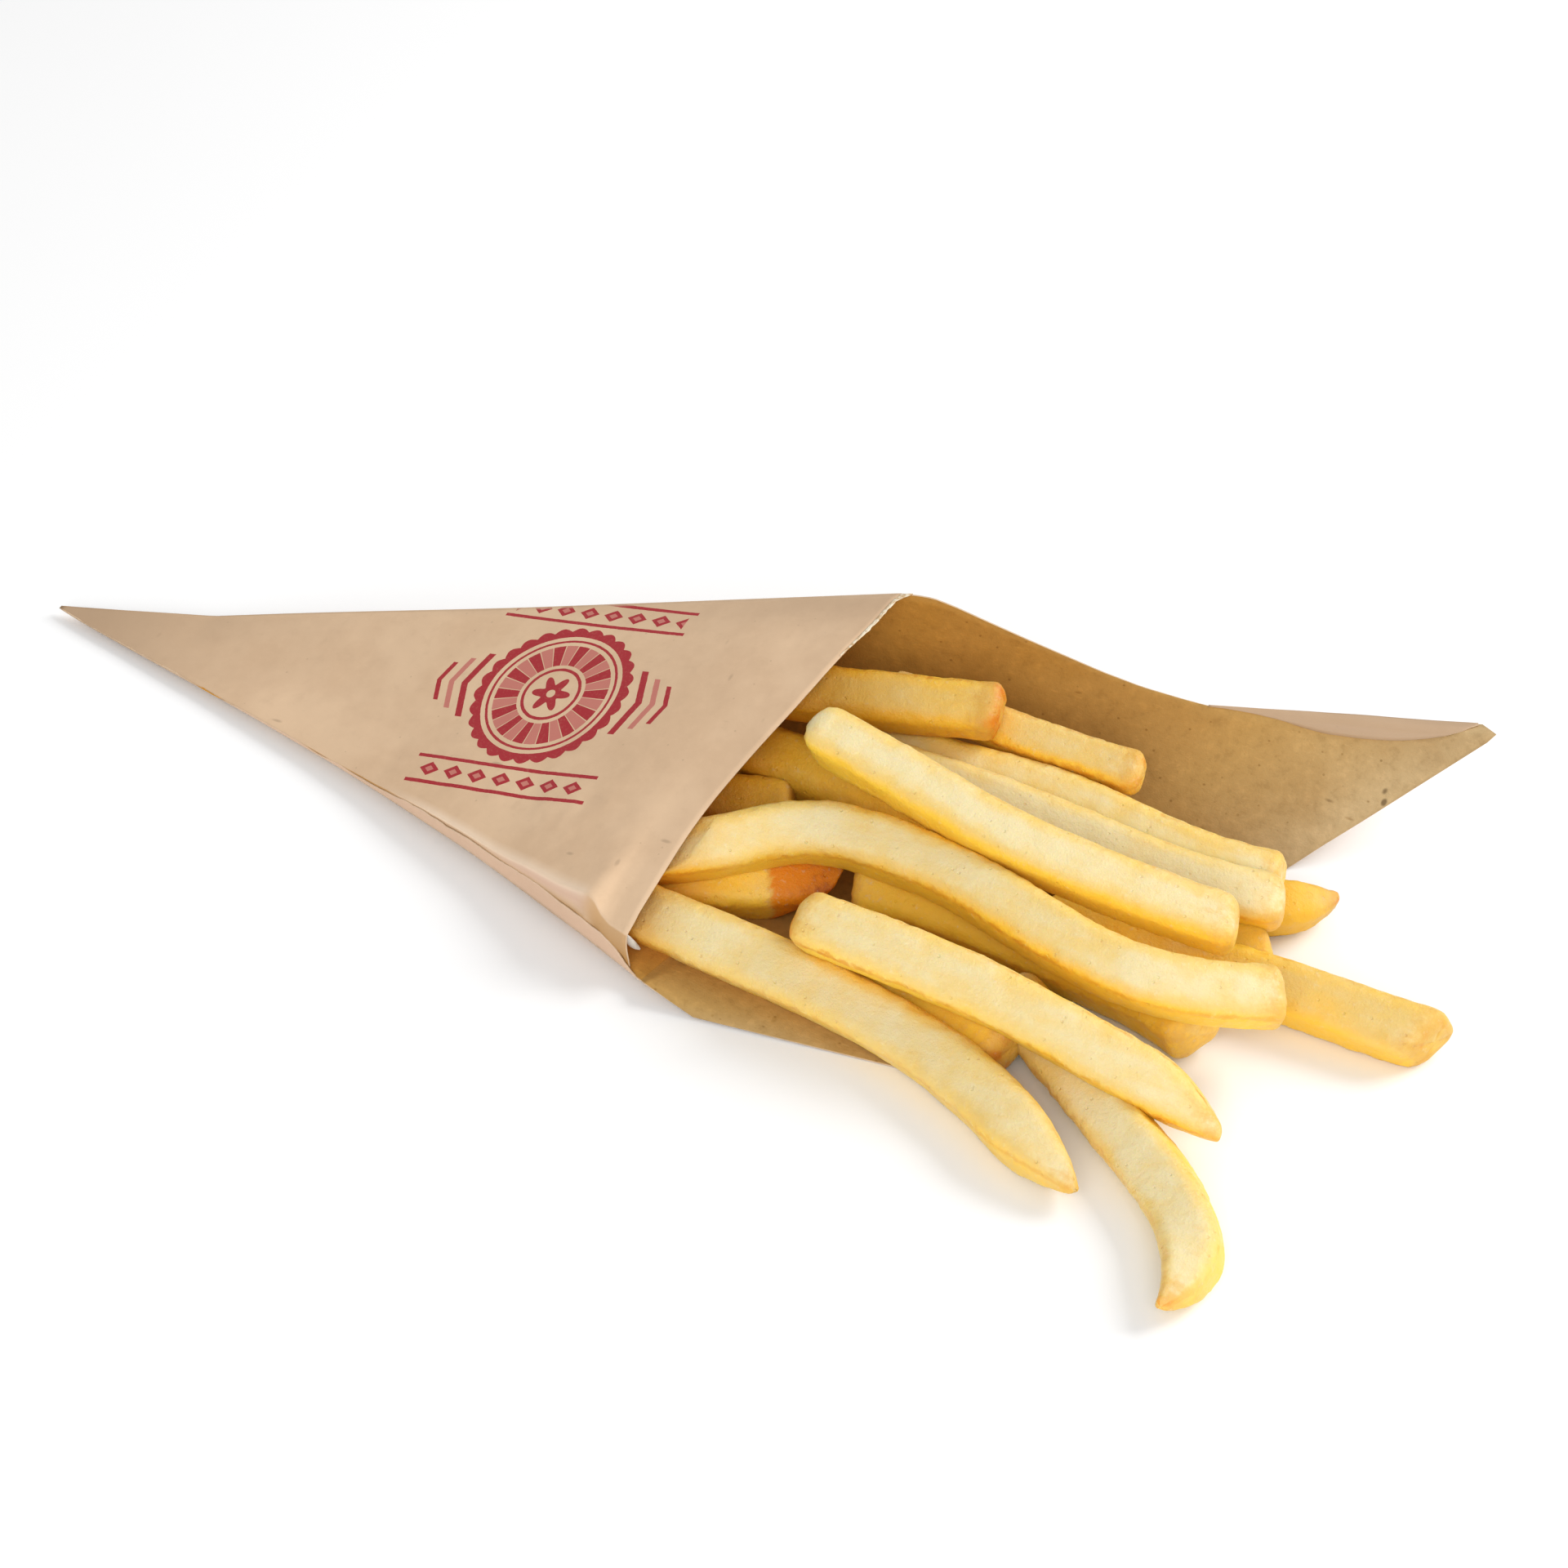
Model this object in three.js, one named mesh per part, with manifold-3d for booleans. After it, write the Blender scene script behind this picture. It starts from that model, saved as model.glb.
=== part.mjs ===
// A kraft paper cone of french fries, lying on its side: one folded sheet with
// an open mouth and a long back tongue, and the heap of fries that fills it and
// spills over the tongue. Millimetres, +Z up, +X from the cone's point to its
// mouth. The paper's flat underside and the loose fries rest on z = 0.
import * as THREE from "three";
import { mergeVertices } from "three/addons/utils/BufferGeometryUtils.js";
import Module from "manifold-3d";

const wasm = await Module();
wasm.setup();

// ---------------------------------------------------------------- dimensions
const ORIGIN = [115.567, 8.212]; // plan point that becomes the part's origin
const PAPER = 0.5; // thickness of the paper solid
const GAP = 0.3; // clear space between paper and fries

const APEX = [-2.95, 3.81]; // plan place of the cone's point
const NEAR_MOUTH = [127.5, -27.8]; // near fold at the mouth
const FAR_KINK = [22.8, 12.0]; // far fold where the cone starts to open
const FAR_MOUTH = [134.6, 35.9]; // far fold at the mouth
const KINK_AT = 0.185; // share of the cone's length that is pressed flat
const KINK_HEIGHT = 2.0;
const MOUTH_HEIGHT = 32; // height of the far fold at the mouth
const NEAR_BOW = 3.5; // how far the near fold bows in at mid length
const RIDGE = [ // height of the front panel's near edge at shares of the cone's length
  [0, 1], [0.45, 1.1], [0.545, 1.6], [0.614, 2.4], [0.683, 3.3], [0.751, 4], [0.806, 5.3], [0.861, 6.5],
  [0.905, 6.9], [1, 6.9],
];
const FAR_SAG = 0.6; // how far the far fold hangs under a straight line
const PANEL_BULGE = 5; // how far the front panel bows over its chord

const TONGUE_CORNER = [138.2, -31.0]; // near corner of the back tongue
const TONGUE_NEAR = [175.3, -24.7]; // near end of its straight front edge
const TONGUE_RISE = [197.5, 41.6]; // where the front edge leaves the table
const TONGUE_PEAK = [218.4, 68.6]; // far end of its front edge
const TONGUE_FAR = [215.6, 69.5]; // end of the far fold
const TONGUE_BEND = [179.2, 50.8]; // far fold where it lowers and turns
const BEND_HEIGHT = 17.6;
const FAR_HEIGHT = 15.4;
const FAR_WAVE = [[0, 0], [0.1, 1.2], [0.27, 0.7], [0.46, 0], [0.66, -0.75], [0.82, -0.8], [1, 0]]; // rise and sag of the tongue's far edge
const FLAP = 3.0; // widest part of the strip folded over at the far edge

// Each fry: start [x, y], centre height at start, at end and extra at middle,
// heading, length, turns spread evenly along it (degrees), width, height, how
// far its broad face stays short of FACE (degrees); start and tip: length,
// least share of the girth and sideways drift of a narrowed end.
const FACE = [0.394, -0.682, 0.616];
const BLUNT = [1.2, 0.78, 0];
const FRIES = [
  { at: [114.3, 15.5], z: [21, 23, 0], head: 17.6, len: 43.7, turn: [-18, 16, 11], w: 8.2, h: 6.8, face: 24 },
  { at: [134.8, 8.1], z: [25, 16, 0], head: -4.2, len: 69.5, turn: [-15, 40, 23], w: 8, h: 7.8, face: 22, start: [4.6, 0.62, 0] },
  { at: [135.6, 23.4], z: [14, 12, 0], head: -8.9, len: 68, turn: [66, -80, 90], w: 7.8, h: 7.2, face: 16 },
  { at: [144.9, 16.6], z: [15, 11.5, 0], head: 4.8, len: 61.1, turn: [-7, -19, 71], w: 7.6, h: 7.2, face: 16 },
  { at: [137.4, 28.7], z: [19, 17, 0], head: 7, len: 40.5, turn: [-20, 12, 4], w: 6, h: 4.8, face: 22 },
  { at: [169.3, 22.6], z: [5.5, 4, 0], head: -12.2, len: 43.3, turn: [87, -18, 100], w: 7.6, h: 7, face: 20, tip: [12, 0.1, -0.75] },
  { at: [176.3, 17.2], z: [6, 5, 0], head: -11, len: 29.6, turn: [-7, 47, 100], w: 7.4, h: 7, face: 20 },
  { at: [114.6, -19.9], z: [10, 12.5, 4], head: 44.1, len: 108.5, turn: [-180, 265, -461, -58, -108, 26, 76, 274, 93], w: 8.2, h: 7.6, face: 14 },
  { at: [174.6, 7.4], z: [5, 4.3, 0], head: -2.3, len: 58.7, turn: [51, -51, 27], w: 8.1, h: 7.4, face: 20, tip: [4, 0.8, -0.3] },
  { at: [148.3, -18.6], z: [13.8, 6.2, 3], head: -3.5, len: 67.2, turn: [14, -20, 47], w: 8.4, h: 7.6, face: 8, start: [2.5, 0.7, 0], tip: [11, 0.2, 0.95] },
  { at: [120.2, -20.5], z: [6, 4, 0], head: -1.7, len: 85.4, turn: [-1, -43, -89], w: 8.7, h: 7.9, face: 8, tip: [15, 0.16, -0.75] },
  { at: [177.7, -7.7], z: [3.9, 3.9, 0], head: -40.3, len: 66.7, turn: [30, -22, -125.5], w: 8.1, h: 7.5, face: 6, tip: [12, 0.14, 0.92] },
  { at: [117.5, -13.5], z: [4.6, 4.8, 0], head: 18, len: 26.5, turn: [10, 30, 30], w: 7.8, h: 7.8, face: 44 },
  { at: [147.6, -1.1], z: [6.5, 5, 0], head: 18.9, len: 57.2, turn: [-73, 15, -70], w: 8.4, h: 7.8, face: 14 },
  { at: [157.4, -17], z: [5.2, 5, 0], head: 0.1, len: 25.6, turn: [-11.9, -9.9, -1.3], w: 7.8, h: 7.6, face: 10 },
  { at: [118.2, 12.4], z: [12.5, 11, 0], head: 7, len: 52, turn: [-40, -4, -10], w: 8, h: 7.6, face: 20 },
  { at: [117, 1.8], z: [8.5, 8.5, 0], head: 22, len: 16.6, turn: [0, 0, 0], w: 8, h: 7.8, face: 20 },
];

// ------------------------------------------------------------------- helpers
const clamp01 = (v) => Math.min(1, Math.max(0, v));
const smooth = (a, b, v) => {
  const t = clamp01((v - a) / (b - a));
  return t * t * (3 - 2 * t);
};
const lerp = (a, b, t) => a + (b - a) * t;
const lerp2 = (p, q, t) => [lerp(p[0], q[0], t), lerp(p[1], q[1], t)];
const bezier = (p, t) => {
  const u = 1 - t;
  const k = [u * u * u, 3 * u * u * t, 3 * u * t * t, t * t * t];
  return [0, 1].map((c) => p.reduce((s, q, i) => s + k[i] * q[c], 0));
};

const along = (rows, x) => {
  const i = Math.max(1, rows.findIndex((r, k) => k === rows.length - 1 || r[0] >= x));
  return lerp(rows[i - 1][1], rows[i][1], clamp01((x - rows[i - 1][0]) / (rows[i][0] - rows[i - 1][0])));
};

function solid(positions, indices) {
  const g = new THREE.BufferGeometry();
  g.setAttribute("position", new THREE.Float32BufferAttribute(positions, 3));
  g.setIndex(indices);
  const m = mergeVertices(g, 1e-4);
  const made = new wasm.Manifold(
    new wasm.Mesh({
      numProp: 3,
      vertProperties: new Float32Array(m.attributes.position.array),
      triVerts: new Uint32Array(m.index.array),
    }),
  );
  return made;
}

// A closed body through rings of equal point count, each ring anticlockwise
// as seen from the last ring's side, with fans at both ends.
function loft(rings) {
  const n = rings[0].length;
  const positions = rings.flat(2);
  const indices = [];
  const cap = (base, flip) => {
    const c = [0, 1, 2].map((k) => rings[base].reduce((s, p) => s + p[k], 0) / n);
    const at = positions.length / 3;
    positions.push(...c);
    for (let j = 0; j < n; j++) {
      const a = base * n + j;
      const b = base * n + ((j + 1) % n);
      indices.push(at, flip ? b : a, flip ? a : b);
    }
  };
  for (let i = 0; i + 1 < rings.length; i++)
    for (let j = 0; j < n; j++) {
      const a = i * n + j;
      const b = i * n + ((j + 1) % n);
      indices.push(a, b, b + n, a, b + n, a + n);
    }
  cap(0, true);
  cap(rings.length - 1, false);
  return solid(positions, indices);
}

// A thin closed plate of the given thickness about a grid of points.
function plate(grid, thickness) {
  const nu = grid.length;
  const nv = grid[0].length;
  const P = (i, j) => new THREE.Vector3(...grid[i][j]);
  const normal = (i, j) => {
    const a = P(Math.min(nu - 1, i + 1), j).sub(P(Math.max(0, i - 1), j));
    const b = P(i, Math.min(nv - 1, j + 1)).sub(P(i, Math.max(0, j - 1)));
    return a.cross(b).normalize();
  };
  const positions = [];
  for (const side of [1, -1])
    for (let i = 0; i < nu; i++)
      for (let j = 0; j < nv; j++) {
        const p = P(i, j).addScaledVector(normal(i, j), (side * thickness) / 2);
        positions.push(p.x, p.y, p.z);
      }
  const id = (s, i, j) => s * nu * nv + i * nv + j;
  const indices = [];
  const quad = (a, b, c, d) => indices.push(a, b, c, a, c, d);
  for (let i = 0; i + 1 < nu; i++)
    for (let j = 0; j + 1 < nv; j++) {
      quad(id(0, i, j), id(0, i + 1, j), id(0, i + 1, j + 1), id(0, i, j + 1));
      quad(id(1, i, j), id(1, i, j + 1), id(1, i + 1, j + 1), id(1, i + 1, j));
    }
  for (let i = 0; i + 1 < nu; i++) {
    quad(id(0, i, 0), id(1, i, 0), id(1, i + 1, 0), id(0, i + 1, 0));
    quad(id(0, i, nv - 1), id(0, i + 1, nv - 1), id(1, i + 1, nv - 1), id(1, i, nv - 1));
  }
  for (let j = 0; j + 1 < nv; j++) {
    quad(id(0, 0, j), id(0, 0, j + 1), id(1, 0, j + 1), id(1, 0, j));
    quad(id(0, nu - 1, j), id(1, nu - 1, j), id(1, nu - 1, j + 1), id(0, nu - 1, j + 1));
  }
  return solid(positions, indices);
}

// ------------------------------------------------------------ the paper cone
// Station s runs from 0 at the point to 1 at the mouth.
function nearFold(s) {
  const p = lerp2(APEX, NEAR_MOUTH, s);
  const d = new THREE.Vector2(NEAR_MOUTH[0] - APEX[0], NEAR_MOUTH[1] - APEX[1]).normalize();
  const bow = NEAR_BOW * Math.sin(Math.PI * Math.pow(clamp01((s - 0.04) / 0.97), 1.15));
  return [p[0] - d.y * bow, p[1] + d.x * bow];
}
function farFold(s) {
  return s < KINK_AT
    ? lerp2(APEX, FAR_KINK, s / KINK_AT)
    : lerp2(FAR_KINK, FAR_MOUTH, (s - KINK_AT) / (1 - KINK_AT));
}
const farHeight = (s) =>
  s < KINK_AT
    ? lerp(2 * PAPER, KINK_HEIGHT, s / KINK_AT)
    : lerp(KINK_HEIGHT, MOUTH_HEIGHT, (s - KINK_AT) / (1 - KINK_AT)) - FAR_SAG * smooth(0.25, 0.6, s);
const bandHeight = (s) => along(RIDGE, s);
const bulge = (s) => PANEL_BULGE * smooth(0.08, 0.85, s);

const FLAT_SHARE = 0.5; // share of the width that lies flat

// Outline of a cross-section in (w, z), w across from near fold to far fold,
// shrunk inward by inset: bottom first, then the far side, the front panel and
// the near band.
function outline(s, inset, top = 1) {
  const a = nearFold(s);
  const b = farFold(s);
  const W = Math.hypot(b[0] - a[0], b[1] - a[1]);
  const H = farHeight(s);
  const B = bandHeight(s);
  const out = s < KINK_AT ? 1.0 : lerp(1.0, 1.07, smooth(KINK_AT, 0.6, s));
  const p = [];
  for (const k of [0.03, 0.18, 0.34, FLAT_SHARE]) p.push([k * W, 0]);
  for (let i = 1; i <= 7; i++)
    p.push(bezier([[FLAT_SHARE * W, 0], [0.86 * W, 0], [out * W, 0.4 * H], [W, H]], i / 7));
  for (let i = 1; i <= 9; i++) {
    const v = i / 9;
    p.push([W * (1 - v), lerp(H, B, v) + bulge(s) * 4 * v * (1 - v) * (H / MOUTH_HEIGHT)]);
  }
  p.push([-0.005 * W, 0.5 * B]);
  const n = p.length;
  const q = p.map((c, i) => {
    const l = p[(i + n - 1) % n];
    const r = p[(i + 1) % n];
    const e1 = new THREE.Vector2(c[0] - l[0], c[1] - l[1]).normalize();
    const e2 = new THREE.Vector2(r[0] - c[0], r[1] - c[1]).normalize();
    const m = new THREE.Vector2(-e1.y - e2.y, e1.x + e2.x).normalize();
    const k = inset / Math.max(0.45, m.dot(new THREE.Vector2(-e1.y, e1.x)));
    return [c[0] + m.x * k, c[1] + m.y * k];
  });
  const dir = [(b[0] - a[0]) / W, (b[1] - a[1]) / W];
  return q.map(([w, z]) => [a[0] + dir[0] * w, a[1] + dir[1] * w, inset > 0 ? inset + (z - inset) * top : z]);
}
const stations = (from, to, n) => Array.from({ length: n + 1 }, (_, i) => lerp(from, to, i / n));

// The wall is the outer body less the hollow, which is open at the mouth.
function coneWall(grow) {
  const shared = stations(0.24, 1, 15);
  const outer = loft([0.004, 0.065, 0.125, KINK_AT, ...shared].map((s) => outline(s, -grow)));
  const hollow = loft([...shared, 1.012].map((s) => outline(s, PAPER + grow)));
  return outer.subtract(hollow);
}

// The back sheet: from inside the cone out over the tongue. t runs from the
// near fold (0) to the far fold (1).
function backSheet(thickness) {
  const NT = 19;
  const half = PAPER / 2;
  const rise = farHeight(1);
  const rowMouth = (t) => {
    const a = nearFold(1);
    const b = farFold(1);
    const W = Math.hypot(b[0] - a[0], b[1] - a[1]);
    const flat = 0.44; // share of t on the flat
    const c =
      t < flat
        ? [(t / flat) * FLAT_SHARE * W, 0]
        : bezier(
            [[FLAT_SHARE * W, 0], [0.86 * W, 0], [1.07 * W, 0.4 * rise], [W, rise]],
            (t - flat) / (1 - flat),
          );
    const k = Math.min(c[0], W - half) / W;
    return [lerp(a[0], b[0], k), lerp(a[1], b[1], k), half + c[1] * (1 - half / rise)];
  };
  const rowEnd = (t) => {
    if (t < 0.14) {
      const p = lerp2(TONGUE_CORNER, TONGUE_NEAR, t / 0.14);
      return [...p, half];
    }
    const u = (t - 0.14) / 0.84;
    if (u <= 1) {
      const r = 0.62; // share of the front edge that lies flat
      if (u < r) return [...lerp2(TONGUE_NEAR, TONGUE_RISE, u / r), half];
      const k = (u - r) / (1 - r);
      return [...lerp2(TONGUE_RISE, TONGUE_PEAK, k), half + (FAR_HEIGHT - 0.6 - half) * k];
    }
    return [...lerp2(TONGUE_PEAK, TONGUE_FAR, (t - 0.98) / 0.02), FAR_HEIGHT];
  };
  const cols = stations(0, 0.98, NT).concat([1]);
  const grid = cols.map((t) => {
    const m = rowMouth(t);
    const e = rowEnd(t);
    const bump = Math.pow(t, 3);
    const mid = [0, 1, 2].map((c) => {
      const far = [...TONGUE_BEND, BEND_HEIGHT][c];
      const end = [(FAR_MOUTH[0] + TONGUE_FAR[0]) / 2, (FAR_MOUTH[1] + TONGUE_FAR[1]) / 2, (rise + FAR_HEIGHT) / 2][c];
      return (m[c] + e[c]) / 2 + bump * (far - end);
    });
    const inner = [0, 1, 2].map((c) => m[c] - 0.05 * (m[c] - [...APEX, half][c]));
    const line = [inner, m];
    for (let k = 1; k <= 10; k++) {
      const v = k / 10;
      const wave = v < 0.5 ? along(FAR_WAVE, 2 * v) * Math.pow(t, 6) : 0;
      line.push(
        [0, 1, 2].map((c) => {
          const round = m[c] * (1 - v) * (1 - 2 * v) + mid[c] * 4 * v * (1 - v) + e[c] * v * (2 * v - 1);
          const bent = v < 0.5 ? lerp(m[c], mid[c], v * 2) : lerp(mid[c], e[c], v * 2 - 1);
          return lerp(round, bent, Math.pow(t, 4)) + wave * [0.2, 0.1, 1][c];
        }),
      );
    }
    return line.map((p) => [p[0], p[1], Math.max(half, p[2])]);
  });
  // grid is [column][along]; turn so that the normal points up
  return { solid: plate(grid[0].map((_, k) => grid.map((g) => g[k])), thickness), grid };
}

// The strip of the sheet beyond the far fold, folded over the tongue.
function farFlap(grid, thickness) {
  const edge = grid[grid.length - 1];
  const n = edge.length;
  const pts = [];
  const at = (v) => {
    const x = v * (n - 1);
    const i = Math.min(n - 2, Math.floor(x));
    return new THREE.Vector3(...edge[i]).lerp(new THREE.Vector3(...edge[i + 1]), x - i);
  };
  for (let k = 0; k <= 12; k++) {
    const v = lerp(0.5, 0.995, k / 12);
    const p = at(v);
    const q = at(Math.min(1, v + 0.02)).sub(at(v - 0.02)).normalize();
    const inward = new THREE.Vector3(q.y, -q.x, 0).normalize();
    const width = FLAP * Math.pow(Math.sin((Math.PI * k) / 12), 0.8) + 0.6;
    const row = [];
    for (let j = 0; j <= 3; j++) {
      const w = (j / 3) * width;
      row.push([p.x + inward.x * w, p.y + inward.y * w, p.z + 0.35 * Math.sin((Math.PI * j) / 3) - 0.05 * w]);
    }
    pts.push(row);
  }
  return plate(pts.map((r) => r.slice().reverse()), thickness);
}

const sheet = backSheet(PAPER);
const paper = coneWall(0).add(sheet.solid).add(farFlap(sheet.grid, PAPER));

// ------------------------------------------------------------------ the fries
function centreline(f, stops) {
  const STEPS = 160;
  const turnAt = (u) => {
    const x = Math.min(f.turn.length - 1, Math.max(0, u * f.turn.length - 0.5));
    const i = Math.min(f.turn.length - 2, Math.floor(x));
    return lerp(f.turn[i], f.turn[i + 1], x - i);
  };
  let [x, y] = f.at;
  let heading = f.head;
  const fine = [];
  for (let i = 0; i <= STEPS; i++) {
    const u = i / STEPS;
    fine.push([x, y, heading]);
    const k = turnAt(u + 0.5 / STEPS) / STEPS;
    const h = ((heading + k / 2) * Math.PI) / 180;
    x += (Math.cos(h) * f.len) / STEPS;
    y += (Math.sin(h) * f.len) / STEPS;
    heading += k;
  }
  return stops.map((u) => {
    const i = Math.min(STEPS - 1, Math.floor(u * STEPS));
    const [px, py, a] = [0, 1, 2].map((c) => lerp(fine[i][c], fine[i + 1][c], u * STEPS - i));
    return { x: px, y: py, z: lerp(f.z[0], f.z[1], u) + f.z[2] * 4 * u * (1 - u), a: (a * Math.PI) / 180, u };
  });
}
const spread = (from, to, n) => Array.from({ length: n + 1 }, (_, i) => lerp(from, to, i / n));
// Half-size factor along the length: 1 in the body, less at the ends.
function girth(f, u) {
  const share = ([reach, least], away) => lerp(least, 1, Math.pow(Math.sin((Math.PI / 2) * clamp01(away / reach)), 0.8));
  return Math.min(share(f.start ?? BLUNT, u * f.len), share(f.tip ?? BLUNT, (1 - u) * f.len));
}
const CORNER = 0.36; // share of each side that the rounded corner takes
function bar(f) {
  const first = (f.start ?? BLUNT)[0] / f.len;
  const last = (f.tip ?? BLUNT)[0] / f.len;
  const stops = [0, ...spread(first, 1 - last, Math.round(f.len / (f.turn.length > 3 ? 8 : 11)) + 1), ...(last > 0.1 ? [1 - last * 0.6, 1 - last * 0.25] : []), 1];
  const rings = centreline(f, stops).map((p) => {
    const k = girth(f, p.u);
    const hw = (f.w / 2) * k;
    const hh = (f.h / 2) * k;
    const drift = f.tip && (1 - p.u) * f.len < f.tip[0] ? f.tip[2] * (1 - k) * (f.w / 2) : 0;
    const r = (-0.92 * (Math.atan2(FACE[0] * Math.sin(p.a) - FACE[1] * Math.cos(p.a), FACE[2]) * 180) / Math.PI + 0.92 * f.face) * (Math.PI / 180);
    const floor = p.x > 205 || p.y < -30 ? 0 : PAPER + GAP;
    const loop = [];
    for (const [sx, sy] of [[1, -1], [1, 1], [-1, 1], [-1, -1]]) {
      const first = sx * sy < 0 ? [1 - CORNER, 1] : [1, 1 - CORNER];
      const second = sx * sy < 0 ? [1, 1 - CORNER] : [1 - CORNER, 1];
      for (const [cx, cy] of [first, second]) loop.push([sx * cx * hw, sy * cy * hh]);
    }
    return loop.reverse().map(([a, b]) => {
      const side = a * Math.cos(r) - b * Math.sin(r) + drift;
      const up = a * Math.sin(r) + b * Math.cos(r);
      return [p.x + Math.sin(p.a) * side, p.y - Math.cos(p.a) * side, Math.max(floor, p.z + up)];
    });
  });
  return loft(rings);
}
// What stands under a fry that lies on others: a narrower fill down to the
// paper, so that the heap is one body.
function under(f) {
  const rings = centreline(f, spread(0, 1, 6))
    .filter((p) => p.u > 0.04 && p.u < 0.84 && p.x < 200)
    .map((p) => {
      const hw = f.w * 0.36;
      const low = PAPER + GAP + 0.6;
      const high = Math.max(low + 1, p.z);
      return [[-hw, low], [-hw, high], [hw, high], [hw, low]].map(([a, z]) => [
        p.x + Math.sin(p.a) * a,
        p.y - Math.cos(p.a) * a,
        z,
      ]);
    });
  return rings.length > 1 ? loft(rings) : null;
}
// The heap inside the cone, lower towards the mouth.
const inside = loft(
  stations(0.3, 0.985, 9).map((s) => outline(s, PAPER + GAP + 0.35, 0.96 - 0.56 * smooth(0.74, 0.98, s))),
);

let heap = inside;
for (const f of FRIES) {
  heap = heap.add(bar(f));
  const fill = under(f);
  if (fill && Math.max(f.z[0], f.z[1]) > 7) heap = heap.add(fill);
}
// Cut the heap back so that it keeps its gap to the paper on every side.
const keepOut = coneWall(GAP).add(backSheet(PAPER + 2 * GAP).solid).add(farFlap(sheet.grid, PAPER + 2 * GAP));
heap = heap.subtract(keepOut);
const parts = heap.decompose().sort((a, b) => b.volume() - a.volume());
heap = parts[0];

// ------------------------------------------------------------------ the group
function meshOf(name, made, colour, roughness) {
  const m = made.getMesh();
  const g = new THREE.BufferGeometry();
  const xyz = [];
  for (let i = 0; i < m.numVert; i++)
    xyz.push(m.vertProperties[i * m.numProp], m.vertProperties[i * m.numProp + 1], m.vertProperties[i * m.numProp + 2]);
  g.setAttribute("position", new THREE.Float32BufferAttribute(xyz, 3));
  g.setIndex(Array.from(m.triVerts));
  g.computeVertexNormals();
  const mesh = new THREE.Mesh(g, new THREE.MeshStandardMaterial({ color: colour, roughness, metalness: 0 }));
  mesh.name = name;
  return mesh;
}

const group = new THREE.Group();
group.add(meshOf("paper_cone", paper, 0xd6b694, 0.75));
group.add(meshOf("fries", heap, 0xf3dc9a, 0.6));
group.position.set(-ORIGIN[0], -ORIGIN[1], 0);
group.updateMatrixWorld(true);

export default group;
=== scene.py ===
import math
import bpy
import numpy as np
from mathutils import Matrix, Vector


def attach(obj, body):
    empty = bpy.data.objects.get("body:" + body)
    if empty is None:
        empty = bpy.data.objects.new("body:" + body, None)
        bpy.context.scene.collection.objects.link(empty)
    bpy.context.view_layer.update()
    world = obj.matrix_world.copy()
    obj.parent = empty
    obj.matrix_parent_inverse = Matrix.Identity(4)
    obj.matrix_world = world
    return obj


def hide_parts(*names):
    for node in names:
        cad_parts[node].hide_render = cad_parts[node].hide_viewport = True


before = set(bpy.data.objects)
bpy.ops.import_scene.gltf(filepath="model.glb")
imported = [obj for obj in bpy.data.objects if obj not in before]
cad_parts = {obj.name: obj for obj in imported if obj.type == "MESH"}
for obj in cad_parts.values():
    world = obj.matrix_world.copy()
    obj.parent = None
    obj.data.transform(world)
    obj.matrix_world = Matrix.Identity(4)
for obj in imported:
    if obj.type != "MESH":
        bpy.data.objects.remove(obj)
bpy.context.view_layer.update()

# ---------------------------------------------------------------- dimensions
# Millimetres in the drawing frame; MM() turns them into the row frame's metres.
ORIGIN = np.array([115.567, 8.212, 0.0])
SHEET = 0.24                     # paper thickness
APEX = np.array([-2.6, 3.7])
NEAR_MOUTH = np.array([127.5, -27.8])
FAR_KINK = np.array([22.8, 12.0])
FAR_MOUTH = np.array([134.6, 35.9])
KINK_AT = 0.185
KINK_HEIGHT = 2.0
MOUTH_HEIGHT = 32.0
FAR_SAG = 0.62                   # how far the far fold hangs under a straight line
NEAR_BOW = 3.5
PANEL_BULGE = 5.0
FLAT_SHARE = 0.5
TONGUE_CORNER = np.array([138.2, -31.0])
TONGUE_NEAR = np.array([175.3, -24.7])
TONGUE_RISE = np.array([197.5, 41.6])
TONGUE_PEAK = np.array([218.4, 68.6])
TONGUE_FAR = np.array([215.5, 69.9])
TONGUE_BEND = np.array([179.2, 50.8])
BEND_HEIGHT = 17.6
FAR_HEIGHT = 15.3

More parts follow.
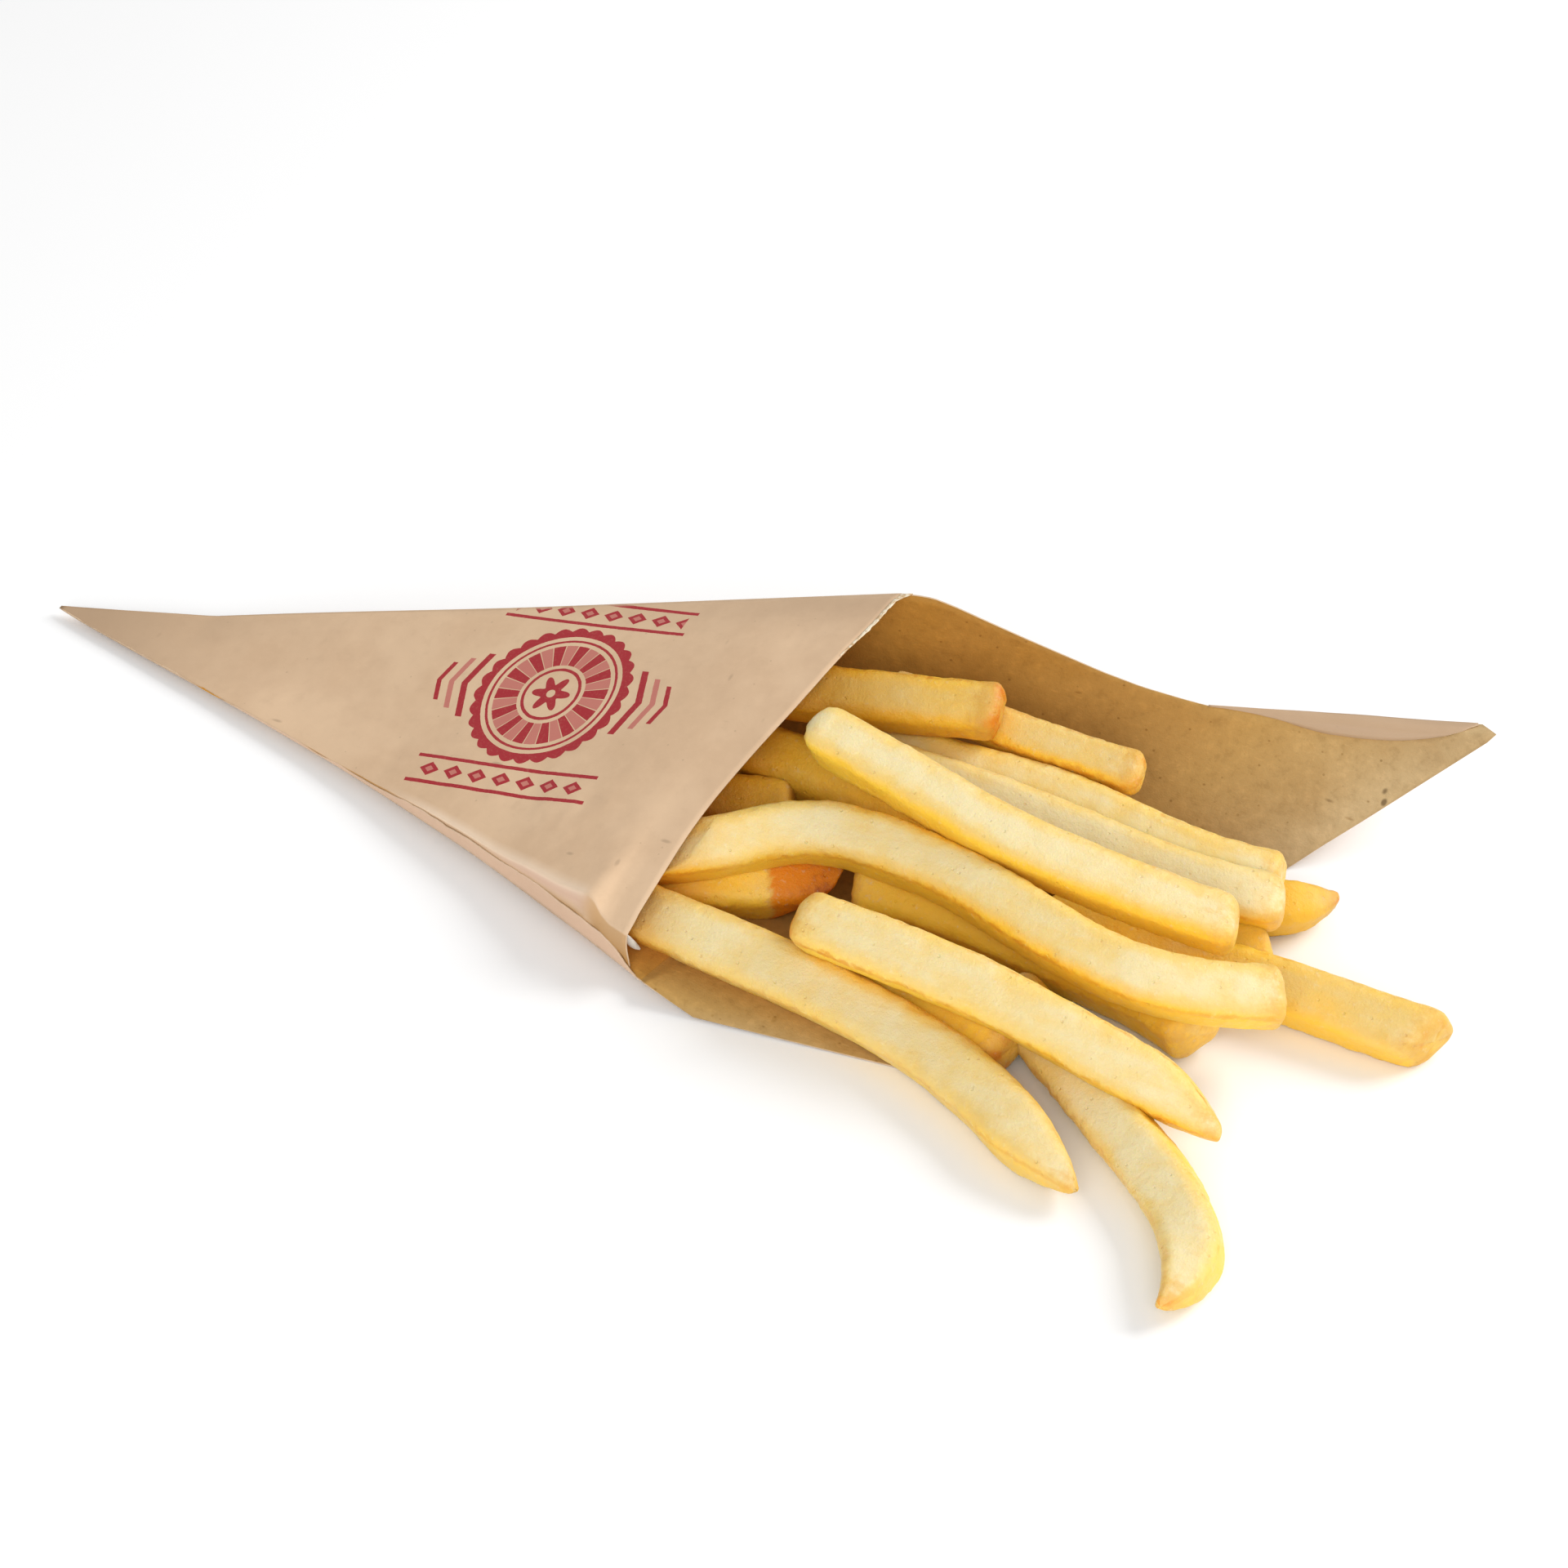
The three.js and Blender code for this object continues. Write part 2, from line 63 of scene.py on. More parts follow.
# The fries: start, centre height at start and end (and extra in the middle),
# heading, length, turns along the length, width, height, face (how many degrees
# short of square-on the broad face stays to the main view), how round the two
# ends are (caps), tapers (length, girth, sideways drift), the slant of the end
# cuts, then looks: tone (0 cream to 1 golden), gild_and_shade (how golden the flanks
# are: crust colour and painted shade), rim (browned long edges), brown (start, end).
# "deep" is how far a fry goes on into the cone, how low, and how far across from the near fold.
PLAIN = dict(face=14, twist=0, caps=(0.9, 1.0), tip0=(1.0, 0.95, 0), tip=(1.0, 0.94, 0), slant=(0, 0), lean=0.0, fade=7.0,
             tone=0.35, gild_and_shade=0.6, rim=0.5, brown=(0, 0.3), scorch=None, deep=None, shade=0.0, sweep=0.0, free=1.0)
FRIES = [dict(PLAIN, **k) for k in (
    dict(n="F1", at=(114.3, 15.5), z=(21, 23, 0), head=17.6, len=43.7, turn=(-18, 16, 11), w=8.2, h=6.8, face=24, caps=(.9, 1.9), tone=.75, gild_and_shade=.85, rim=1.0, brown=(0, 1.0), shade=1.1, slant=(0, -8), deep=(34, 9.0, .56)),
    dict(n="F2", at=(134.8, 8.1), z=(25, 16, 0), head=-4.2, len=69.5, turn=(-15, 40, 23), w=8.0, h=7.8, face=22, sweep=.75, caps=(3.3, 2.2), tip0=(4.6, .72, 0), tone=.04, free=.6, gild_and_shade=.72, rim=.6, brown=(.20, .30), slant=(0, 4)),
    dict(n="F3", at=(135.6, 23.4), z=(14, 12, 0), head=-8.9, len=68.0, turn=(66, -80, 90), w=7.8, h=7.2, face=16, caps=(.9, 1.5), tone=.26, free=.5, gild_and_shade=.65, rim=.95, brown=(0, .35), slant=(0, -8)),
    dict(n="F4", at=(144.9, 16.6), z=(15, 11.5, 0), head=4.8, len=61.1, turn=(-7, -19, 71), w=7.6, h=7.2, face=16, caps=(.9, 2.4), tone=.02, free=.3, gild_and_shade=.65, rim=.5, brown=(0, .30), slant=(0, 4)),
    dict(n="F5", at=(137.4, 28.7), z=(19, 17, 0), head=7.0, len=40.5, turn=(-20, 12, 4), w=6.0, h=4.8, face=14, shade=.22, caps=(.9, 1.7), tone=.34, gild_and_shade=.60, rim=.9, brown=(0, .6), slant=(0, 4)),
    dict(n="F6", at=(169.3, 22.6), z=(5.5, 4, 0), head=-12.2, len=43.3, turn=(87, -18, 100), w=7.6, h=7.0, face=20, shade=.40, tip=(12, .10, -.75), caps=(.9, .3), tone=1.1, gild_and_shade=.7, rim=.7, brown=(0, .85)),
    dict(n="F7", at=(176.3, 17.2), z=(6, 5, 0), head=-11.0, len=29.6, turn=(-7, 47, 100), w=7.4, h=7.0, face=20, shade=.25, caps=(.9, 1.4), tone=1.1, gild_and_shade=.6, rim=.5, brown=(0, .3), slant=(0, 10)),
    dict(n="F8", at=(114.6, -19.9), z=(10, 12.5, 4), head=44.1, len=108.5, turn=(-180, 265, -461, -58, -108, 26, 76, 274, 93), w=8.2, h=7.6, face=14, twist=4, caps=(.9, 1.5), tone=.26, free=.35, gild_and_shade=.72, rim=.6, brown=(0, .5), slant=(0, 2), deep=(24, 6.0, .36)),
    dict(n="F9", at=(174.6, 7.4), z=(5, 4.3, 0), head=-2.3, len=58.7, turn=(51, -51, 27), w=8.1, h=7.4, face=20, shade=.18, caps=(.9, 1.5), tip=(4, .86, -.3), tone=.52, gild_and_shade=.68, rim=.55, brown=(0, .45), slant=(0, -30), fade=9),
    dict(n="F10", at=(148.3, -18.6), z=(13.8, 6.2, 3.0), head=-3.5, len=67.2, turn=(14, -20, 47), w=8.4, h=7.6, face=8, caps=(2.8, .5), tip0=(2.5, .88, 0), tip=(11, .20, .95), tone=.34, free=.6, gild_and_shade=.55, rim=.95, brown=(1.15, .50)),
    dict(n="F11", at=(120.2, -20.5), z=(6, 4, 0), head=-1.7, len=85.4, turn=(-1, -43, -89), w=8.7, h=7.9, face=8, caps=(.9, .6), tip=(15, .13, -.75), tone=.28, free=.5, gild_and_shade=.50, rim=.55, shade=.10, brown=(0, .35), deep=(22, 5, .33)),
    dict(n="F12", at=(177.7, -7.7), z=(3.9, 3.9, 0), head=-40.3, len=66.7, turn=(30, -22, -125.5), w=8.1, h=7.5, face=-10, caps=(.9, .4), tip=(12, .14, .92), tone=.10, free=.4, gild_and_shade=.55, rim=.40, brown=(0, .6)),
    dict(n="F13", at=(117.5, -13.5), z=(4.6, 4.8, 0), head=18, len=26.5, turn=(10, 30, 30), w=7.8, h=7.8, face=18, caps=(.9, .8), tone=.65, gild_and_shade=.6, rim=.2, lean=1.40, fade=19, scorch=6.6, deep=(22, 4.5, .42)),
    dict(n="F14", at=(147.6, -1.1), z=(6.5, 5, 0), head=18.9, len=57.2, turn=(-73, 15, -70), w=8.4, h=7.8, face=14, caps=(2.2, 1.6), tone=.75, gild_and_shade=.6, rim=.4, brown=(.45, .35), slant=(0, -8)),
    dict(n="F16", at=(157.4, -17.0), z=(5.2, 5.0, 0), head=.1, len=25.6, turn=(-11.9, -9.9, -1.3), w=7.8, h=7.6, face=10, caps=(.9, 1.7), tone=1.7, gild_and_shade=.7, rim=.5, brown=(0, .7), slant=(0, -10)),
    dict(n="G", at=(118.2, 12.4), z=(12.5, 11, 0), head=7.0, len=52.0, turn=(-40, -4, -10), w=8.0, h=7.6, face=20, tone=1.0, shade=.55, gild_and_shade=.7, rim=.4, brown=(0, .3), deep=(30, 5.5, .50)),
    dict(n="H", at=(117.0, 1.8), z=(8.5, 8.5, 0), head=22.0, len=16.6, turn=(0, 0, 0), w=8.0, h=7.8, face=20, caps=(.9, 2.0), tone=1.0, shade=.60, gild_and_shade=.7, rim=.4, brown=(0, .4), deep=(26, 5, .45)),
)]


def MM(p):
    return (np.asarray(p, float) - ORIGIN) / 1000.0


# ------------------------------------------------------------------- helpers
def lerp(a, b, t):
    return a + (b - a) * t


def sm(a, b, v):
    t = np.clip((np.asarray(v, float) - a) / (b - a), 0, 1)
    return t * t * (3 - 2 * t)


def hashed(i, j, k, seed):
    n = (i * 374761393 + j * 668265263 + k * 1442695041 + seed * 974711) & 0xFFFFFFFF
    n = ((n ^ (n >> 13)) * 1274126177) & 0xFFFFFFFF
    n = n ^ (n >> 16)
    return (n & 0xFFFF) / 32767.5 - 1.0


def noise(P, size, seed=0, octaves=1):
    """Smooth value noise from -1 to 1 at points P (n, 3), with features of about the given size."""
    P = np.atleast_2d(np.asarray(P, float))
    out = np.zeros(len(P))
    amp, total = 1.0, 0.0
    for o in range(octaves):
        q = P / size * (2 ** o) + 17.3 * o
        i = np.floor(q).astype(np.int64)
        f = q - i
        f = f * f * f * (f * (f * 6 - 15) + 10)
        v = np.zeros(len(P))
        for dx in (0, 1):
            for dy in (0, 1):
                for dz in (0, 1):
                    wgt = (f[:, 0] if dx else 1 - f[:, 0]) * (f[:, 1] if dy else 1 - f[:, 1]) * (f[:, 2] if dz else 1 - f[:, 2])
                    v += wgt * hashed(i[:, 0] + dx, i[:, 1] + dy, i[:, 2] + dz, seed + o)
        out += amp * v
        total += amp
        amp *= 0.5
    return out / total


def mesh_object(name, verts, faces, materials, slots=None, attrs=None, smooth=True):
    me = bpy.data.meshes.new(name)
    me.from_pydata(MM(verts).tolist(), [], [tuple(int(i) for i in f) for f in faces])
    for m in materials:
        me.materials.append(m)
    if slots is not None:
        me.polygons.foreach_set("material_index", np.asarray(slots, np.int32))
    me.polygons.foreach_set("use_smooth", np.full(len(me.polygons), smooth))
    for key, data in (attrs or {}).items():
        data = np.asarray(data, np.float32)
        if data.ndim == 1:
            a = me.attributes.new(key, "FLOAT", "POINT")
            a.data.foreach_set("value", data)
        else:
            a = me.attributes.new(key, "FLOAT_VECTOR", "POINT")
            a.data.foreach_set("vector", data.ravel())
    me.validate()
    me.update()
    o = bpy.data.objects.new(name, me)
    bpy.context.scene.collection.objects.link(o)
    return o


def vertex_normals(V, F):
    F = np.asarray(F)
    n = np.zeros_like(V)
    if F.shape[1] == 4:
        fn = np.cross(V[F[:, 2]] - V[F[:, 0]], V[F[:, 3]] - V[F[:, 1]])
    else:
        fn = np.cross(V[F[:, 1]] - V[F[:, 0]], V[F[:, 2]] - V[F[:, 0]])
    for k in range(F.shape[1]):
        np.add.at(n, F[:, k], fn)
    return n / (np.linalg.norm(n, axis=1)[:, None] + 1e-12)


def thicken(V, Q, thickness, offset=0.5):
    """A closed shell about a quad sheet: (vertices, faces, 0 front / 1 back / 2 rim, source vertex)."""
    V = np.asarray(V, float)
    Q = np.asarray(Q)
    n = vertex_normals(V, Q)
    th = np.broadcast_to(np.asarray(thickness, float), (len(V),))[:, None]
    top = V + n * th * offset
    low = V - n * th * (1 - offset)
    N = len(V)
    count = {}
    for q in Q:
        for a, b in zip(q, np.roll(q, -1)):
            count[(int(a), int(b))] = 1
    rim = [(a, b) for a, b in count if (b, a) not in count]
    faces = [tuple(q) for q in Q] + [tuple(q[::-1] + N) for q in Q] + [(b, a, a + N, b + N) for a, b in rim]
    kind = [0] * len(Q) + [1] * len(Q) + [2] * len(rim)
    return np.vstack([top, low]), faces, np.array(kind), np.r_[np.arange(N), np.arange(N)]


# ------------------------------------------------------------------ materials
class Mat:
    """A short way to write node materials."""

    def __init__(self, name):
        self.m = bpy.data.materials.new(name)
        self.m.use_nodes = True
        self.nt = self.m.node_tree
        self.nt.nodes.clear()

    def node(self, kind, **props):
        n = self.nt.nodes.new(kind)
        for k, v in props.items():
            setattr(n, k, v)
        return n

    def put(self, socket, x):
        if isinstance(x, bpy.types.NodeSocket):
            self.nt.links.new(x, socket)
        else:
            socket.default_value = x

    def math(self, op, a, b=0.0, c=0.0, clamp=False):
        n = self.node("ShaderNodeMath", operation=op, use_clamp=clamp)
        for s, x in zip(n.inputs, (a, b, c)):
            self.put(s, x)
        return n.outputs[0]

    def add(self, *xs):
        out = xs[0]
        for x in xs[1:]:
            out = self.math("ADD", out, x)
        return out

    def mul(self, *xs):
        out = xs[0]
        for x in xs[1:]:
            out = self.math("MULTIPLY", out, x)
        return out

    def about(self, x, amount):
        """A 0..1 noise turned into plus or minus amount / 2."""
        return self.mul(self.math("SUBTRACT", x, 0.5), amount)

    def object_mm(self, stretch=(1, 1, 1), turn=(0, 0, 0)):
        """Object coordinates in millimetres, optionally turned and stretched."""
        t = self.node("ShaderNodeTexCoord").outputs["Object"]
        n = self.node("ShaderNodeMapping", vector_type="POINT")
        self.put(n.inputs["Vector"], t)
        n.inputs["Rotation"].default_value = [math.radians(x) for x in turn]
        n.inputs["Scale"].default_value = [1000 * s for s in stretch]
        return n.outputs[0]

    def noise(self, vec, scale, detail=2.0, rough=0.5, distortion=0.0):
        n = self.node("ShaderNodeTexNoise")
        self.put(n.inputs["Vector"], vec)
        self.put(n.inputs["Scale"], scale)
        self.put(n.inputs["Detail"], detail)
        self.put(n.inputs["Roughness"], rough)
        self.put(n.inputs["Distortion"], distortion)
        return n.outputs["Fac"]

    def voronoi(self, vec, scale, feature="F1", rand=1.0):
        n = self.node("ShaderNodeTexVoronoi", feature=feature)
        self.put(n.inputs["Vector"], vec)
        self.put(n.inputs["Scale"], scale)
        self.put(n.inputs["Randomness"], rand)
        return n

    def span(self, x, a, b, c=0.0, d=1.0, smooth=True):
        n = self.node("ShaderNodeMapRange", interpolation_type="SMOOTHSTEP" if smooth else "LINEAR")
        n.clamp = True
        for s, v in zip(n.inputs, (x, a, b, c, d)):
            self.put(s, v)
        return n.outputs[0]

    def mix(self, fac, a, b, blend="MIX"):
        n = self.node("ShaderNodeMix", data_type="RGBA", blend_type=blend)
        self.put(n.inputs["Factor"], fac)
        ins = [s for s in n.inputs if s.type == "RGBA"]
        for s, x in zip(ins, (a, b)):
            if isinstance(x, bpy.types.NodeSocket):
                self.nt.links.new(x, s)
            else:
                s.default_value = (*x, 1.0)
        return [s for s in n.outputs if s.type == "RGBA"][0]

    def attr(self, name, vector=False):
        n = self.node("ShaderNodeAttribute", attribute_type="GEOMETRY", attribute_name=name)
        return n.outputs["Vector" if vector else "Fac"]

    def xyz(self, vec):
        n = self.node("ShaderNodeSeparateXYZ")
        self.put(n.inputs[0], vec)
        return n.outputs[0], n.outputs[1], n.outputs[2]

    def bump(self, height, distance, strength=1.0, normal=None):
        n = self.node("ShaderNodeBump")
        n.inputs["Strength"].default_value = strength
        n.inputs["Distance"].default_value = distance
        self.put(n.inputs["Height"], height)
        if normal is not None:
            self.put(n.inputs["Normal"], normal)
        return n.outputs[0]

    def finish(self, base, rough, normal=None, **consts):
        p = self.node("ShaderNodeBsdfPrincipled")
        out = self.node("ShaderNodeOutputMaterial")
        if isinstance(base, bpy.types.NodeSocket):
            self.put(p.inputs["Base Color"], base)
        else:
            p.inputs["Base Color"].default_value = (*base, 1.0)
        self.put(p.inputs["Roughness"], rough)
        if normal is not None:
            self.put(p.inputs["Normal"], normal)
        for k, v in consts.items():
            p.inputs[k.replace("_", " ")].default_value = v
        self.nt.links.new(p.outputs[0], out.inputs[0])
        return self.m


def srgb(r, g, b, k=1.0):
    def one(c):
        c = c / 255.0
        return (c / 12.92 if c <= 0.04045 else ((c + 0.055) / 1.055) ** 2.4) * k
    return (one(r), one(g), one(b))


# How bright a level white surface comes out, so that albedo = wanted colour / LEVEL.
LEVEL = 1.12


def tone(r, g, b):
    return srgb(r, g, b, 1 / LEVEL)


def darker(c, k):
    return [min(1.0, x * k) for x in c]


def kraft_base(m, pale, dark, specks, fibre, more=0.0):
    """The colour and height of kraft paper: cloudy formation, fibres and short dark and pale flecks."""
    p = m.object_mm()
    cloud = m.noise(p, 0.07, 3, 0.55)
    formation = m.noise(p, 0.40, 4, 0.6)
    grain = m.noise(p, 3.0, 3, 0.65)
    hair_a = m.noise(m.object_mm((0.45, 2.6, 2.6), (0, 0, 24)), 1.0, 2, 0.6, 0.8)
    hair_b = m.noise(m.object_mm((0.45, 2.4, 2.4), (0, 0, -52)), 1.0, 2, 0.6, 0.8)
    col = m.mix(m.span(cloud, 0.35, 0.65), dark, pale)
    col = m.mix(m.mul(m.span(formation, 0.45, 0.75), 0.30), col, darker(pale, 1.07))
    col = m.mix(m.mul(m.span(formation, 0.48, 0.26), 0.35), col, darker(dark, 0.91))
    col = m.mix(m.mul(m.span(hair_a, 0.64, 0.78), fibre), col, darker(pale, 1.16))
    col = m.mix(m.mul(m.span(hair_b, 0.66, 0.80), fibre), col, darker(dark, 0.76))
    # short dark flecks, scattered and turned
    for scale, stretch, turn, few, deep in ((0.30, (0.30, 1, 1), 38, 0.80, 0.40), (0.26, (1, 0.4, 1), -20, 0.86, 0.50), (0.55, (1, 1, 1), 0, 0.84, 0.62)):
        fleck = m.voronoi(m.object_mm(stretch, (0, 0, turn)), scale)
        spot = m.span(fleck.outputs["Distance"], 0.13 + 0.1 * more, 0.05 + 0.1 * more)
        keep = m.math("GREATER_THAN", m.xyz(fleck.outputs["Color"])[0], few - more)
        col = m.mix(m.mul(spot, keep, specks), col, darker(dark, deep))
    height = m.add(m.mul(grain, 0.5), m.mul(m.add(hair_a, hair_b), 0.35))
    return col, height, cloud


def outer_kraft():
    m = Mat("kraft_outer")
    col, height, cloud = kraft_base(m, tone(229, 196, 160), tone(221, 187, 151), 0.40, 0.18)
    # painted shade: 'tip' darkens and greys the kraft towards the cone's tip, along the panel's far fold and over the
    # whole folded flap
    col = m.mix(m.mul(m.attr("tip"), 0.85), col, tone(183, 153, 122))
    col = m.mix(m.attr("pink"), col, tone(222, 184, 158))
    # painted shade: golden brown in the open seam and down the lip's turned-in lower part; where the lip runs into the
    # inner side this is that side's tan
    col = m.mix(m.attr("gold_and_shade"), col, tone(180, 128, 50))
    # painted highlight: a light line along the panel's near ridge and on the band's torn edge
    col = m.mix(m.attr("painted_highlight"), col, tone(247, 221, 193))
    col = printed(m, col)
    rough = m.span(cloud, 0.3, 0.7, 0.44, 0.54)
    nrm = m.bump(height, 0.00006, 0.45)
    nrm = m.bump(m.noise(m.object_mm(), 0.11, 3, 0.5), 0.0012, 0.22, nrm)
    return m.finish(col, rough, nrm, Specular_IOR_Level=0.34)


BADGE = (94.0, 0.5)              # centre of the printed roundel, in panel millimetres


def printed(m, col):
    """A generic red print: a roundel of rays in rings between rows of lozenges and chevrons."""
    x, y, on = m.xyz(m.attr("pan", vector=True))
    red, light = tone(172, 30, 44), tone(198, 100, 96)
    wob = m.about(m.noise(m.object_mm(), 1.5, 2, 0.5), 0.13)
    dx, dy = m.math("SUBTRACT", x, BADGE[0]), m.math("SUBTRACT", y, BADGE[1])
    r = m.add(m.math("SQRT", m.add(m.mul(dx, dx), m.mul(dy, dy))), wob)
    ang = m.math("ARCTAN2", dy, dx)

    def band(v, a, b):
        return m.mul(m.math("GREATER_THAN", v, a), m.math("LESS_THAN", v, b))

    def either(*xs):
        out = xs[0]
        for q in xs[1:]:
            out = m.math("MAXIMUM", out, q)
        return out

    wave = m.math("SINE", m.mul(ang, 14.0))
    rays = m.math("GREATER_THAN", wave, 0.12)
    gaps = m.math("LESS_THAN", wave, -0.12)
    petals = m.add(2.6, m.mul(m.math("COSINE", m.mul(ang, 6.0)), 0.9))
    scallop = m.add(12.9, m.mul(m.math("ABSOLUTE", m.math("SINE", m.mul(ang, 14.0))), 0.75))
    solid = either(m.mul(m.math("GREATER_THAN", r, 11.7), m.math("LESS_THAN", r, scallop)), band(r, 10.5, 10.95),
                   m.mul(rays, band(r, 5.7, 9.8)), band(r, 4.5, 5.05), m.mul(m.math("LESS_THAN", r, petals), m.math("GREATER_THAN", r, 0.75)))
    pale = m.mul(gaps, band(r, 5.7, 9.8))
    # lozenge rows over and under, each between two bars
    for side, shift in ((1, 0.0), (-1, 0.5)):
        v = m.math("ABSOLUTE", m.math("SUBTRACT", dy, 17.0 * side))
        u = m.math("ABSOLUTE", m.math("SUBTRACT", m.math("FRACT", m.add(m.math("DIVIDE", dx, 4.4), shift)), 0.5))
        lozenge = m.math("LESS_THAN", m.add(m.mul(u, 4.4 / 1.75), m.math("DIVIDE", v, 1.35), wob), 1.0)
        inner = m.math("LESS_THAN", m.add(m.mul(u, 4.4 / 0.8), m.math("DIVIDE", v, 0.6), wob), 1.0)
        reach = m.math("LESS_THAN", m.math("ABSOLUTE", dx), 15.4)
        solid = either(solid, m.mul(lozenge, reach, m.math("SUBTRACT", 1.0, inner)))
        pale = either(pale, m.mul(inner, reach))
        bar = band(m.add(v, wob), 2.1, 2.75)
        solid = either(solid, m.mul(bar, m.math("LESS_THAN", m.math("ABSOLUTE", dx), 16.5)))
    # chevrons beside the roundel
    for k, (at, tall, thick) in enumerate(((15.6, 6.2, 1.2), (18.2, 4.9, 1.0), (20.6, 3.7, 0.85))):
        bent = m.add(m.math("ABSOLUTE", dx), m.mul(m.math("ABSOLUTE", dy), 0.32), wob)
        chev = m.mul(band(bent, at, at + thick), m.math("LESS_THAN", m.math("ABSOLUTE", dy), tall))
        if k == 1:
            pale = either(pale, chev)
        else:
            solid = either(solid, chev)
    ink = m.span(m.noise(m.object_mm(), 2.4, 3, 0.6), 0.25, 0.5, 0.90, 0.98)
    col = m.mix(m.mul(pale, on, 0.80), col, light)
    return m.mix(m.mul(solid, on, ink), col, red)


def inner_kraft():
    """The rougher inner side: duller by the tongue, warmer and browner towards the cone as painted shade and warm
    bounce light, mottled and flecked.
    """
    m = Mat("kraft_inner")
    col, height, cloud = kraft_base(m, tone(198, 169, 123), tone(180, 148, 101), 1.0, 0.60, 0.16)
    # painted shade and warm bounce light: 'deep' makes the inner side darker golden brown inside the cone and on the
    # tongue by the mouth
    deep = m.attr("deep")
    warm = m.mix(m.span(deep, 0.5, 1.0, 0.0, 1.0, False), tone(194, 152, 84), tone(186, 130, 44))
    warm = m.mix(m.span(deep, 1.0, 1.5, 0.0, 1.0, False), warm, tone(228, 162, 62))
    col = m.mix(m.span(deep, 0.0, 0.5, 0.0, 0.88, False), col, warm)
    p = m.object_mm()
    mottle = m.noise(p, 0.55, 4, 0.62)
    hair = m.noise(m.object_mm((0.35, 2.0, 2.0), (0, 0, 28)), 1.0, 3, 0.6, 0.8)
    wisp = m.noise(m.object_mm((2.0, 0.35, 2.0), (0, 0, 12)), 0.9, 3, 0.6, 0.8)
    col = m.mix(m.mul(m.span(mottle, 0.50, 0.70), 0.75), col, (1.15, 1.15, 1.18), "MULTIPLY")
    col = m.mix(m.mul(m.span(mottle, 0.48, 0.30), 0.75), col, (0.84, 0.82, 0.78), "MULTIPLY")
    col = m.mix(m.mul(m.span(hair, 0.60, 0.76), 0.8), col, (1.16, 1.16, 1.20), "MULTIPLY")
    col = m.mix(m.mul(m.span(wisp, 0.62, 0.78), 0.7), col, (0.80, 0.78, 0.74), "MULTIPLY")
    for scale, stretch, turn, few, wide in ((0.30, (0.30, 1, 1), 38, 0.62, 0.15), (0.34, (0.26, 1, 1), -8, 0.66, 0.12), (0.60, (0.8, 1, 1), 0, 0.66, 0.15)):
        fleck = m.voronoi(m.object_mm(stretch, (0, 0, turn)), scale)
        spot = m.mul(m.span(fleck.outputs["Distance"], wide, wide * 0.35), m.math("GREATER_THAN", m.xyz(fleck.outputs["Color"])[0], few))
        col = m.mix(m.mul(spot, 0.8), col, (0.62, 0.54, 0.42), "MULTIPLY")
    nrm = m.bump(height, 0.00010, 0.65)
    nrm = m.bump(mottle, 0.0005, 0.35, nrm)
    return m.finish(col, m.span(cloud, 0.3, 0.7, 0.66, 0.80), nrm, Specular_IOR_Level=0.25)


def cut_kraft():
    m = Mat("kraft_cut")
    p = m.object_mm()
    col = m.mix(m.noise(p, 1.1, 3, 0.6), tone(236, 212, 182), tone(206, 174, 138))
    return m.finish(col, 0.85, m.bump(m.noise(p, 3.0, 3, 0.6), 0.0001, 0.6), Specular_IOR_Level=0.2)


def torn_kraft():
    m = Mat("kraft_torn")
    p = m.object_mm()
    col = m.mix(m.span(m.noise(p, 1.2, 4, 0.65), 0.40, 0.66), tone(252, 240, 214), tone(216, 178, 128))
    return m.finish(col, 0.9, m.bump(m.noise(p, 2.0, 4, 0.65), 0.0003, 0.8), Specular_IOR_Level=0.2)


def pale_bead_material():
    m = Mat("pale_bead_finish")
    p = m.object_mm()
    col = m.mix(m.noise(p, 1.4, 3, 0.6), tone(238, 238, 232), tone(205, 204, 196))
    return m.finish(col, 0.35, m.bump(m.noise(p, 1.6, 3, 0.6), 0.0002, 0.5), Specular_IOR_Level=0.4)


CREAM, YELLOW, GOLD, AMBER, BROWN = tone(248, 231, 179), tone(249, 216, 131), srgb(255, 208, 68, 0.97), srgb(238, 142, 8, 0.90), tone(176, 84, 4)


